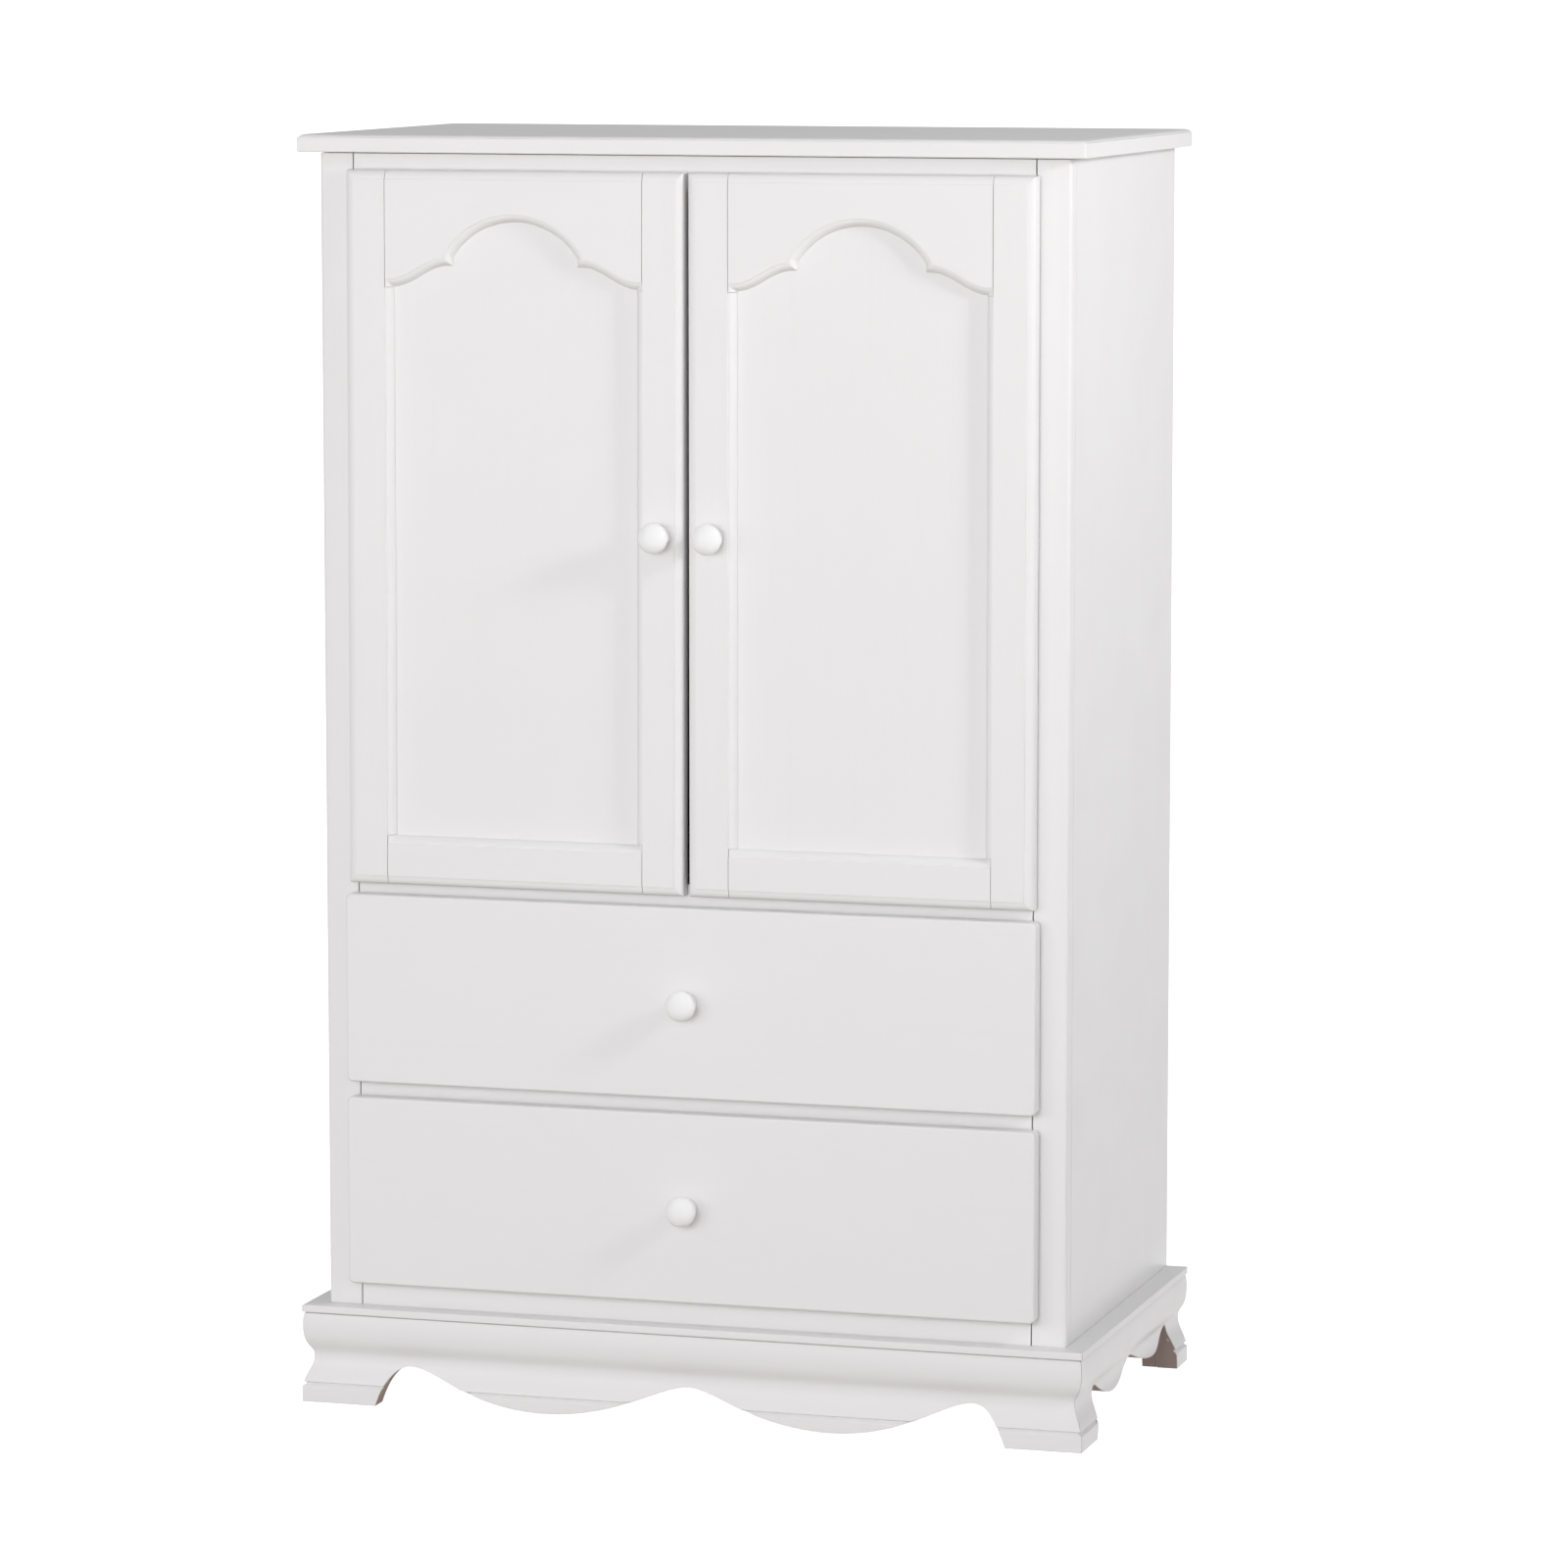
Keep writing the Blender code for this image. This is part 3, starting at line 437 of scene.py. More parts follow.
@dataclass(frozen=True)
class Plating(Finish):
    """Pressed steel with bright nickel plating, brushed along its length and lightly worn."""

    slot: Slot = Slot.PLATED_STEEL
    grain: Axis = Axis.Z
    bright: Point3 = (0.71, 0.70, 0.68)
    dull: Point3 = (0.52, 0.50, 0.47)

    def wire(self, wiring: Wiring, shader: bpy.types.Node, where: Socket) -> None:
        """Wire brush lines, cloudy tarnish and roughness that follows them.

        Args:
            wiring: the material's tree.
            shader: its principled shader.
            where: object coordinates, in metres.
        """
        brush = wiring.noise(wiring.stretched(where, along(self.grain, 60.0, 3200.0)), 1.0, 2.0)
        clouds = wiring.noise(where, 160.0, 4.0, 0.6)
        colour = wiring.blend(wiring.spread(clouds, (0.45, 0.75), (0.0, 0.8)), self.bright, self.dull)
        wear = wiring.weigh(brush, clouds, 0.5)
        wiring.feed(shader, {
            "Base Color": colour, "Roughness": wiring.spread(wear, (0.3, 0.7), (0.20, 0.42)),
            "Metallic": 1.0,
        })
        self.relief(wiring, shader, ((brush, 0.000006),), 0.0003)


@dataclass(frozen=True)
class Plastic(Finish):
    """Moulded brown plastic with a fine spark texture."""

    slot: Slot = Slot.BROWN_PLASTIC
    colour: Point3 = (0.13, 0.078, 0.045)
    scuffed: Point3 = (0.22, 0.145, 0.095)

    def wire(self, wiring: Wiring, shader: bpy.types.Node, where: Socket) -> None:
        """Wire spark texture and pale scuffs on the arrises.

        Args:
            wiring: the material's tree.
            shader: its principled shader.
            where: object coordinates, in metres.
        """
        spark = wiring.noise(where, 2600.0, 2.0)
        clouds = wiring.noise(where, 70.0, 3.0)
        edge = Lacquer.arris(wiring)
        colour = wiring.blend(wiring.math("MULTIPLY", edge, clouds), self.colour, self.scuffed)
        wiring.feed(shader, {
            "Base Color": colour, "Roughness": wiring.spread(clouds, (0.3, 0.7), (0.38, 0.52))})
        self.relief(wiring, shader, ((spark, 0.00002),), 0.0004)


@dataclass(frozen=True)
class SawnEdge(Finish):
    """A band-sawn edge that the paint only mists, brown and rough."""

    paint: Point3 = (0.70, 0.67, 0.63)
    core: Point3 = (0.30, 0.20, 0.13)
    cover: float = 0.5

    def wire(self, wiring: Wiring, shader: bpy.types.Node, where: Socket) -> None:
        """Wire saw marks and a patchy mist of paint over the bare core.

        Args:
            wiring: the material's tree.
            shader: its principled shader.
            where: object coordinates, in metres.
        """
        marks = wiring.noise(wiring.stretched(where, (900.0, 60.0, 60.0)), 1.0, 3.0, 0.8)
        patches = wiring.noise(where, 95.0, 4.0, 0.7)
        mist = wiring.weigh(marks, patches, 0.4)
        low = 0.62 - 0.3 * self.cover
        colour = wiring.blend(wiring.spread(mist, (low, low + 0.12), (0.0, 1.0)), self.core, self.paint)
        wiring.feed(shader, {"Base Color": colour, "Roughness": 0.8})
        self.relief(wiring, shader, ((marks, 0.00018), (patches, 0.0001)))


WHITE = {axis: Lacquer(f"white_lacquer_grain_{axis.name.lower()}", grain=axis) for axis in Axis}
RAW = {axis: Timber(f"raw_board_grain_{axis.name.lower()}", grain=axis) for axis in Axis}
DRAWER = {
    axis: Timber(f"drawer_timber_grain_{axis.name.lower()}", Slot.DRAWER_WOOD, grain=axis,
                 early=(0.80, 0.66, 0.46), late=(0.66, 0.50, 0.32), roughness=(0.36, 0.50),
                 pore_depth=0.00003)
    for axis in Axis
}
# The knobs' lacquer is the white lacquer made paler: painted light that stands in for highlights on the
# knobs.
KNOB_PAINTED_LIGHT = Lacquer("knob_lacquer_painted_light", grain=Axis.Y, colour=(0.92, 0.92, 0.92), shade=(0.89, 0.885, 0.885))
BACK = Fibreboard("back_fibreboard")
STEEL = Plating("nickel_plating")
BROWN = Plastic("brown_plastic_moulding")
SAWN = SawnEdge("sawn_edge_misted", cover=0.62)
BARE_EDGE = SawnEdge("sawn_edge_bare", core=(0.36, 0.28, 0.25), cover=0.16)


# Outlines and solids


def curve(start: Point2, start_handle: Point2, end_handle: Point2, end: Point2, steps: int) -> Outline:
    """Points of a cubic curve after its start, up to and with its end.

    Args:
        start: the first point.
        start_handle: the control point it leaves towards.
        end_handle: the control point it arrives from.
        end: the last point.
        steps: how many points are returned.

    Returns:
        The points.
    """
    points = []
    for i in range(1, steps + 1):
        t = i / steps
        weights = ((1 - t) ** 3, 3 * t * (1 - t) ** 2, 3 * t * t * (1 - t), t**3)
        corners = (start, start_handle, end_handle, end)
        across, up = (sum(w * c[k] for w, c in zip(weights, corners)) for k in (0, 1))
        points.append((across, up))
    return points


def arc(centre: Point2, radius: float, start: float, end: float, steps: int) -> Outline:
    """Points on an arc.

    Args:
        centre: its centre.
        radius: its radius.
        start: the first angle in radians.
        end: the last angle in radians.
        steps: how many chords it has.

    Returns:
        The points, with both ends.
    """
    angles = [start + (end - start) * i / steps for i in range(steps + 1)]
    return [(centre[0] + radius * math.cos(a), centre[1] + radius * math.sin(a)) for a in angles]


def rectangle(low: Point2, high: Point2) -> Outline:
    """The corners of a rectangle, anticlockwise from its low corner."""
    return [low, (high[0], low[1]), high, (low[0], high[1])]


def soften(outline: Outline, radius: float, steps: int = 3) -> Outline:
    """Round each corner of a closed outline.

    Args:
        outline: its corners.
        radius: how far from a corner the rounding starts, at most.
        steps: chords in each rounding.

    Returns:
        The rounded outline.
    """
    rounded: Outline = []
    for i, corner in enumerate(outline):
        here = Vector(corner)
        before, after = Vector(outline[i - 1]) - here, Vector(outline[(i + 1) % len(outline)]) - here
        reach = min(radius, 0.45 * before.length, 0.45 * after.length)
        start, end = here + before.normalized() * reach, here + after.normalized() * reach
        for k in range(steps + 1):
            t = k / steps
            point = start * (1 - t) ** 2 + here * 2 * t * (1 - t) + end * t * t
            rounded.append((point.x, point.y))
    return rounded


def inset(outline: Outline, distance: float) -> Outline:
    """Move every side of a closed outline inwards by one distance.

    Args:
        outline: its corners, in either direction.
        distance: how far the sides move, outwards if it is negative.

    Returns:
        As many corners, in the same order.
    """
    count = len(outline)
    area = sum(outline[i - 1][0] * outline[i][1] - outline[i][0] * outline[i - 1][1]
               for i in range(count))
    sign = 1.0 if area > 0 else -1.0
    moved: Outline = []
    for i, corner in enumerate(outline):
        here = Vector(corner)
        arriving = (here - Vector(outline[i - 1])).normalized()
        leaving = (Vector(outline[(i + 1) % count]) - here).normalized()
        first, second = Vector((-arriving.y, arriving.x)), Vector((-leaving.y, leaving.x))
        point = here + (first + second) * (sign * distance / (1 + first.dot(second)))
        moved.append((point.x, point.y))
    return moved


def placed(outline: Outline, height: float, axis: Axis) -> Ring:
    """Put a flat outline in space, at a height along the axis that it is square to.

    Args:
        outline: (y, z) points for X, (x, z) for Y, (x, y) for Z.
        height: where along the axis it lies.
        axis: the axis.

    Returns:
        The points in space.
    """
    if axis is Axis.X:
        return [(height, a, b) for a, b in outline]
    if axis is Axis.Y:
        return [(a, height, b) for a, b in outline]
    return [(a, b, height) for a, b in outline]


def loft(rings: Sequence[Ring]) -> Solid:
    """A closed solid through rings of equally many points.

    Args:
        rings: the rings in order.

    Returns:
        The solid, with a flat cap at each end.
    """
    bm = bmesh.new()
    made = [[bm.verts.new(point) for point in ring] for ring in rings]
    count = len(made[0])
    for lower, upper in zip(made, made[1:]):
        for i in range(count):
            j = (i + 1) % count
            bm.faces.new((lower[i], lower[j], upper[j], upper[i]))
    bm.faces.new(made[0])
    bm.faces.new(made[-1])
    return bm


def slab(outline: Outline, low: float, high: float, axis: Axis, arris: float = 0.0008,
         steps: int = 3) -> Solid:
    """A board of one outline whose arrises are rounded all round.

    Args:
        outline: its outline, as placed() takes it.
        low: where it starts along the axis.
        high: where it ends.
        axis: the axis that it is extruded along.
        arris: the radius of its arrises.
        steps: chords in each rounding.

    Returns:
        The solid.
    """
    turns = [math.pi / 2 * i / steps for i in range(steps + 1)]
    bands = [(arris * (1 - math.sin(a)), arris * (1 - math.cos(a))) for a in turns]
    rings = [placed(inset(outline, inwards), low + rise, axis) for inwards, rise in bands]
    rings += [placed(inset(outline, inwards), high - rise, axis) for inwards, rise in reversed(bands)]
    return loft(rings)


def turned(profile: Outline, segments: int) -> Solid:
    """A solid turned about Z.

    Args:
        profile: (radius, height) points, the first and the last on the axis.
        segments: chords round it.

    Returns:
        The solid.
    """
    bm = bmesh.new()
    first, last = bm.verts.new((0, 0, profile[0][1])), bm.verts.new((0, 0, profile[-1][1]))
    angles = [2 * math.pi * i / segments for i in range(segments)]
    rings = [[bm.verts.new((r * math.cos(a), r * math.sin(a), h)) for a in angles]
             for r, h in profile[1:-1]]
    for i in range(segments):
        j = (i + 1) % segments
        bm.faces.new((first, rings[0][i], rings[0][j]))
        bm.faces.new((last, rings[-1][j], rings[-1][i]))
        for lower, upper in zip(rings, rings[1:]):
            bm.faces.new((lower[i], lower[j], upper[j], upper[i]))
    return bm


def turn_to(bm: Solid, direction: Sequence[float], place: Sequence[float]) -> Solid:
    """Turn a solid's +Z to a direction and move its origin.

    Args:
        bm: the solid.
        direction: where +Z goes.
        place: where the origin goes.

    Returns:
        The same solid.
    """
    turn = Vector((0, 0, 1)).rotation_difference(Vector(direction)).to_matrix().to_4x4()
    bmesh.ops.transform(bm, matrix=Matrix.Translation(Vector(place)) @ turn, verts=bm.verts)
    return bm


def link_object(name: str, mesh: bpy.types.Mesh) -> bpy.types.Object:
    """Make an object of a mesh, at the origin, and link it to the scene.

    Args:
        name: the object's name.
        mesh: its mesh.

    Returns:
        The object.
    """
    made = bpy.data.objects.new(name, mesh)
    bpy.context.scene.collection.objects.link(made)
    return made


def object_of(name: str, bm: Solid) -> bpy.types.Object:
    """Turn a solid into an object whose faces point outwards.

    Args:
        name: the object's name.
        bm: the solid, which is freed.

    Returns:
        The object.
    """
    bmesh.ops.remove_doubles(bm, verts=bm.verts, dist=WELD)
    bmesh.ops.recalc_face_normals(bm, faces=bm.faces)
    mesh = bpy.data.meshes.new(name)
    bm.to_mesh(mesh)
    bm.free()
    return link_object(name, mesh)


def settled(made: bpy.types.Object) -> bpy.types.Mesh:
    """The mesh that an object's modifiers make, as a mesh of its own."""
    graph = bpy.context.evaluated_depsgraph_get()
    return bpy.data.meshes.new_from_object(made.evaluated_get(graph))


def discard(*objects: bpy.types.Object) -> None:
    """Remove helper objects."""
    for made in objects:
        bpy.data.objects.remove(made, do_unlink=True)


@dataclass
class Piece:
    """Where one finished piece belongs: its body, its finish and the frame nodes it stands for."""

    name: str
    body: str
    finish: Finish
    nodes: tuple[str, ...] = ()

    def make(self, bm: Solid, sharp: float = 34.0,
             extra: Sequence[Finish] = ()) -> bpy.types.Object:
        """Shade a solid, give it its finish, and set it on its body.

        Args:
            bm: the solid, which is freed.
            sharp: edges that turn by more degrees than this stay crisp.
            extra: further finishes, for faces whose material index is above 0.

        Returns:
            The piece.
        """
        made = object_of(self.name, bm)
        for finish in (self.finish, *extra):
            made.data.materials.append(finish.material())
        made.data.shade_smooth()
        made.data.set_sharp_from_angle(angle=math.radians(sharp))
        weighted = made.modifiers.new("weighted_normals", "WEIGHTED_NORMAL")
        weighted.keep_sharp = True
        rough = made.data
        made.data = settled(made)
        made.modifiers.clear()
        bpy.data.meshes.remove(rough)
        made.data.name = self.name
        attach(made, self.body)
        if self.nodes:
            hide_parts(*self.nodes)
        log.info("%s: %d faces on %s", self.name, len(made.data.polygons), self.body)
        return made


def finished(node: str, body: str, finish: Finish) -> Piece:
    """The piece that stands for one frame node."""
    return Piece(f"{node}_finished", body, finish, (node,))


def board(node: str, body: str, finish: Finish, arris: float = 0.0008, axis: Axis = Axis.Y,
          corner: float = 0.0008, short: Point2 = (0.0, 0.0)) -> bpy.types.Object:
    """Finish a plain rectangular board exactly where its frame node is.

    Args:
        node: the frame node that it stands for.
        body: the body that it moves with.
        finish: its finish.
        arris: the radius of its arrises.
        axis: the axis that it is extruded along.
        corner: the radius of its corners, seen along that axis.
        short: how far each end, and the top, stop short of the node.

    Returns:
        The piece.
    """
    low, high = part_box(node)
    low.x, high.x, high.z = low.x + short[0], high.x - short[0], high.z - short[1]
    flat = [i for i in range(3) if i != axis.value]
    outline = rectangle((low[flat[0]], low[flat[1]]), (high[flat[0]], high[flat[1]]))
    solid = slab(soften(outline, corner), low[axis.value], high[axis.value], axis, arris)
    return finished(node, body, finish).make(solid)


def carved(blank: Solid,
           cuts: Sequence[tuple[str, Solid]]) -> Solid:
    """Cut a solid by others, join others to it, or keep what they share.

    Args:
        blank: the solid, which is freed.
        cuts: pairs of a Boolean operation and the solid it uses, in order.

    Returns:
        What is left.
    """
    base = object_of("blank", blank)
    helpers = []
    for operation, solid in cuts:
        helper = object_of("cutter", solid)
        helpers.append(helper)
        modifier = base.modifiers.new("carve", "BOOLEAN")
        modifier.operation = operation
        modifier.solver = "MANIFOLD"
        modifier.object = helper
    mesh = settled(base)
    bm = bmesh.new()
    bm.from_mesh(mesh)
    discard(base, *helpers)
    bpy.data.meshes.remove(mesh)
    bmesh.ops.remove_doubles(bm, verts=bm.verts, dist=WELD)
    return bm


def eased(bm: Solid, width: float, wanted: Callable[[Vector], bool]) -> Solid:
    """Round some of a solid's edges.

    Args:
        bm: the solid.
        width: how far each rounding reaches.
        wanted: tells whether a point is on a line that is to be rounded.

    Returns:
        The same solid.
    """
    chosen = [edge for edge in bm.edges
              if all(wanted(vert.co) for vert in edge.verts) and edge.calc_face_angle(0.0) > 0.9]
    bmesh.ops.bevel(bm, geom=chosen, offset=width, segments=2, profile=0.5, affect="EDGES",
                    clamp_overlap=True)
    return bm


# Geometry Nodes


class NodeForm:
    """A Geometry Nodes tree with named inputs, run once on a carrier to give a plain mesh."""

    def __init__(self, name: str, sockets: dict[str, tuple[str, Any]]) -> None:
        """Start the tree.

        Args:
            name: the tree's name.
            sockets: input name to its type's last word and its default value.
        """
        self.tree = bpy.data.node_groups.new(name, "GeometryNodeTree")
        face = self.tree.interface
        face.new_socket("Geometry", in_out="INPUT", socket_type="NodeSocketGeometry")
        for label, (kind, value) in {**sockets, "Material": ("Material", None)}.items():
            socket = face.new_socket(label, in_out="INPUT", socket_type=f"NodeSocket{kind}")
            if value is not None:
                socket.default_value = value
        face.new_socket("Geometry", in_out="OUTPUT", socket_type="NodeSocketGeometry")
        self.wiring = Wiring(self.tree)
        self.given = self.wiring.add("NodeGroupInput").outputs

    def calc(self, operation: str, *values: Any) -> Socket:
        """Add a Math node and return its result's socket."""
        return self.wiring.math(operation, *values)

    def close(self, geometry: Socket) -> None:
        """End the tree in Realize Instances and Set Material.

        Args:
            geometry: what it has made.
        """
        real = self.wiring.add("GeometryNodeRealizeInstances", {0: geometry}).outputs[0]
        dressed = self.wiring.add("GeometryNodeSetMaterial", {
            "Geometry": real, "Material": self.given["Material"]}).outputs[0]
        self.wiring.add("NodeGroupOutput", {0: dressed})

    def stand(self, points: Socket, head: Socket) -> Socket:
        """Stand one head on each point, along the point's facing, turned at random.

        Args:
            points: the points, with a "facing" attribute.
            head: the head, along +Z from the origin.

        Returns:
            The instances' socket.
        """
        facing = self.wiring.add("GeometryNodeInputNamedAttribute", {"Name": "facing"},
                                 data_type="FLOAT_VECTOR").outputs["Attribute"]
        upright = self.wiring.add("FunctionNodeAlignRotationToVector", {"Vector": facing},
                                  axis="Z").outputs[0]
        chance = self.wiring.add("FunctionNodeRandomValue", {2: 0.0, 3: math.pi, 8: self.given["Seed"]},
                                 data_type="FLOAT").outputs[1]
        about = self.wiring.add("ShaderNodeCombineXYZ", {"Z": chance}).outputs[0]
        spin = self.wiring.add("FunctionNodeEulerToRotation", {0: about}).outputs[0]
        turn = self.wiring.add("FunctionNodeRotateRotation", {0: upright, 1: spin},
                               rotation_space="LOCAL").outputs[0]
        return self.wiring.add("GeometryNodeInstanceOnPoints", {
            "Points": points, "Instance": head, "Rotation": turn}).outputs[0]

    def grow(self, carrier: bpy.types.Mesh, values: dict[str, Any]) -> Solid:
        """Run the tree on a carrier.

        Args:
            carrier: the mesh it starts from.
            values: input name to value.

        Returns:
            The result as a solid of its own.
        """
        holder = link_object("carrier", carrier)
        modifier = holder.modifiers.new(self.tree.name, "NODES")
        modifier.node_group = self.tree
        for item in self.tree.interface.items_tree:
            if item.item_type == "SOCKET" and item.in_out == "INPUT" and item.name in values:
                modifier[item.identifier] = values[item.name]
        mesh = settled(holder)
        bm = bmesh.new()
        bm.from_mesh(mesh)
        discard(holder)
        bpy.data.meshes.remove(mesh)
        return bm


def carrier_of(points: Sequence[Sequence[float]], facing: Sequence[float],
               closed: bool = False) -> bpy.types.Mesh:
    """A mesh of points that fasteners stand on.

    Args:
        points: where they stand.
        facing: which way all of them face.
        closed: whether the points are joined in a ring.

    Returns:
        The mesh, with a "facing" attribute.
    """
    count = len(points)
    edges = [(i, (i + 1) % count) for i in range(count)] if closed else []
    mesh = bpy.data.meshes.new("carrier")
    mesh.from_pydata([tuple(point) for point in points], edges, [])
    attribute = mesh.attributes.new("facing", "FLOAT_VECTOR", "POINT")
    attribute.data.foreach_set("vector", [value for _ in points for value in facing])
    return mesh


class ScrewHeads(NodeForm):
    """Pan heads with a cross recess, one on each point of the carrier."""

    def __init__(self) -> None:
        """Build the tree: a coned head less two crossed slots."""
        super().__init__("screw_heads", {
            "Radius": ("Float", 0.0035), "Height": ("Float", 0.0012), "Recess Width": ("Float", 0.0009),
            "Recess Depth": ("Float", 0.0009), "Seed": ("Int", 7),
        })
        add, given = self.wiring.add, self.given
        cone = add("GeometryNodeMeshCone", {
            "Vertices": 28, "Side Segments": 3, "Radius Bottom": given["Radius"],
            "Radius Top": self.calc("MULTIPLY", given["Radius"], 0.62), "Depth": given["Height"],
        }).outputs["Mesh"]
        reach = self.calc("MULTIPLY", given["Radius"], 1.1)
        deep = self.calc("MULTIPLY", given["Recess Depth"], 2.0)
        top = add("ShaderNodeCombineXYZ", {"Z": given["Height"]}).outputs[0]
        head = cone
        for turn in (0.0, math.pi / 2):
            size = add("ShaderNodeCombineXYZ", {"X": reach, "Y": given["Recess Width"], "Z": deep})
            slot = add("GeometryNodeMeshCube", {"Size": size.outputs[0]}).outputs["Mesh"]
            slot = add("GeometryNodeTransform", {
                "Geometry": slot, "Translation": top, "Rotation": (0.0, 0.0, turn)}).outputs[0]
            head = add("GeometryNodeMeshBoolean", {0: head, 1: slot},
                       operation="DIFFERENCE", solver="MANIFOLD").outputs[0]
        self.close(self.stand(given["Geometry"], head))


class NailRow(NodeForm):
    """Flat nail heads at one spacing along the carrier's edges."""

    def __init__(self) -> None:
        """Build the tree: the carrier's path, resampled, with a head on each point."""
        super().__init__("nail_row", {
            "Spacing": ("Float", 0.12), "Radius": ("Float", 0.0024), "Height": ("Float", 0.0007),
            "Seed": ("Int", 11),
        })
        add, given = self.wiring.add, self.given
        path = add("GeometryNodeMeshToCurve", {"Mesh": given["Geometry"]}).outputs[0]
        points = add("GeometryNodeResampleCurve", {"Curve": path, "Length": given["Spacing"]},
                     mode="LENGTH").outputs[0]
        head = add("GeometryNodeMeshCone", {
            "Vertices": 20, "Side Segments": 2, "Radius Bottom": given["Radius"],
            "Radius Top": self.calc("MULTIPLY", given["Radius"], 0.8), "Depth": given["Height"],
        }).outputs["Mesh"]
        self.close(self.stand(points, head))


class TurnedKnob(NodeForm):
    """A knob turned from a profile: a grid rolled round its axis."""

    def __init__(self, profile: Outline) -> None:
        """Build the tree.

        Args:
            profile: (radius, height) points from the foot to the crown, each as a share of the largest.
        """
        super().__init__("turned_knob", {
            "Radius": ("Float", 0.0172), "Length": ("Float", 0.029), "Segments": ("Int", 64),
            "Steps": ("Int", 84), "Place": ("Vector", (0.0, 0.0, 0.0)),
        })
        add, given = self.wiring.add, self.given
        grid = add("GeometryNodeMeshGrid", {
            "Size X": 1.0, "Size Y": 1.0, "Vertices X": self.calc("ADD", given["Segments"], 1),
            "Vertices Y": given["Steps"],
        }).outputs["Mesh"]
        place = add("ShaderNodeSeparateXYZ", {0: add("GeometryNodeInputPosition").outputs[0]}).outputs
        angle = self.calc("MULTIPLY", self.calc("ADD", place["X"], 0.5), 2 * math.pi)
        along_profile = self.calc("ADD", place["Y"], 0.5)
        radius_share = self.shaped(along_profile, [r for r, _ in profile])
        height_share = self.shaped(along_profile, [h for _, h in profile])
        radius = self.calc("MULTIPLY", radius_share, given["Radius"])
        height = self.calc("MULTIPLY", height_share, given["Length"])
        rolled = add("ShaderNodeCombineXYZ", {
            "X": self.calc("MULTIPLY", radius, self.calc("COSINE", angle)),
            "Y": self.calc("MULTIPLY", radius, self.calc("SINE", angle)), "Z": height,
        }).outputs[0]
        solid = add("GeometryNodeSetPosition", {"Geometry": grid, "Position": rolled}).outputs[0]
        solid = add("GeometryNodeMergeByDistance", {"Geometry": solid, "Distance": 2e-6}).outputs[0]
        solid = add("GeometryNodeTransform", {
            "Geometry": solid, "Translation": given["Place"], "Rotation": (math.pi / 2, 0.0, 0.0)})
        self.close(solid.outputs[0])

    def shaped(self, factor: Socket, values: Sequence[float]) -> Socket:
        """Read a list of evenly spaced values as a smooth curve.

        Args:
            factor: how far along the list, from 0 to 1.
            values: the list.

        Returns:
            The value's socket.
        """
        node = self.wiring.add("ShaderNodeFloatCurve", {"Value": factor})
        points = node.mapping.curves[0].points
        last = len(values) - 1
        points[0].location, points[1].location = (0.0, values[0]), (1.0, values[last])
        for i in range(1, last):
            points.new(i / last, values[i])
        for point in points:
            point.handle_type = "AUTO_CLAMPED"
        node.mapping.update()
        return node.outputs[0]


class Fasteners:
    """Drives the screws and the nails, each body's as one mesh."""

    def __init__(self) -> None:
        """Make the two forms."""
        self.heads = ScrewHeads()
        self.nails = NailRow()

    def screws(self, name: str, body: str, rows: Rows, radius: float, seed: int) -> bpy.types.Object:
        """Drive one body's screws.

        Args:
            name: the piece's name.
            body: the body that they hold on to.
            rows: pairs of points and the direction that the heads at them face.
            radius: the heads' radius.
            seed: the seed of their random turn.

        Returns:
            The piece.
        """
        joined = bmesh.new()
        for i, (points, facing) in enumerate(rows):
            grown = self.heads.grow(carrier_of(points, facing), {
                "Radius": radius, "Height": radius * 0.34, "Recess Width": radius * 0.26,
                "Recess Depth": radius * 0.24, "Seed": seed + i, "Material": STEEL.material()})
            absorb(joined, grown)
        return Piece(name, body, STEEL).make(joined, sharp=28.0)


def absorb(target: Solid, source: Solid) -> None:
    """Add a solid to another and free it.

    Args:
        target: what it is copied into.
        source: what is copied.
    """
    mesh = bpy.data.meshes.new("passing")
    source.to_mesh(mesh)
    source.free()
    target.from_mesh(mesh)
    bpy.data.meshes.remove(mesh)


# The case


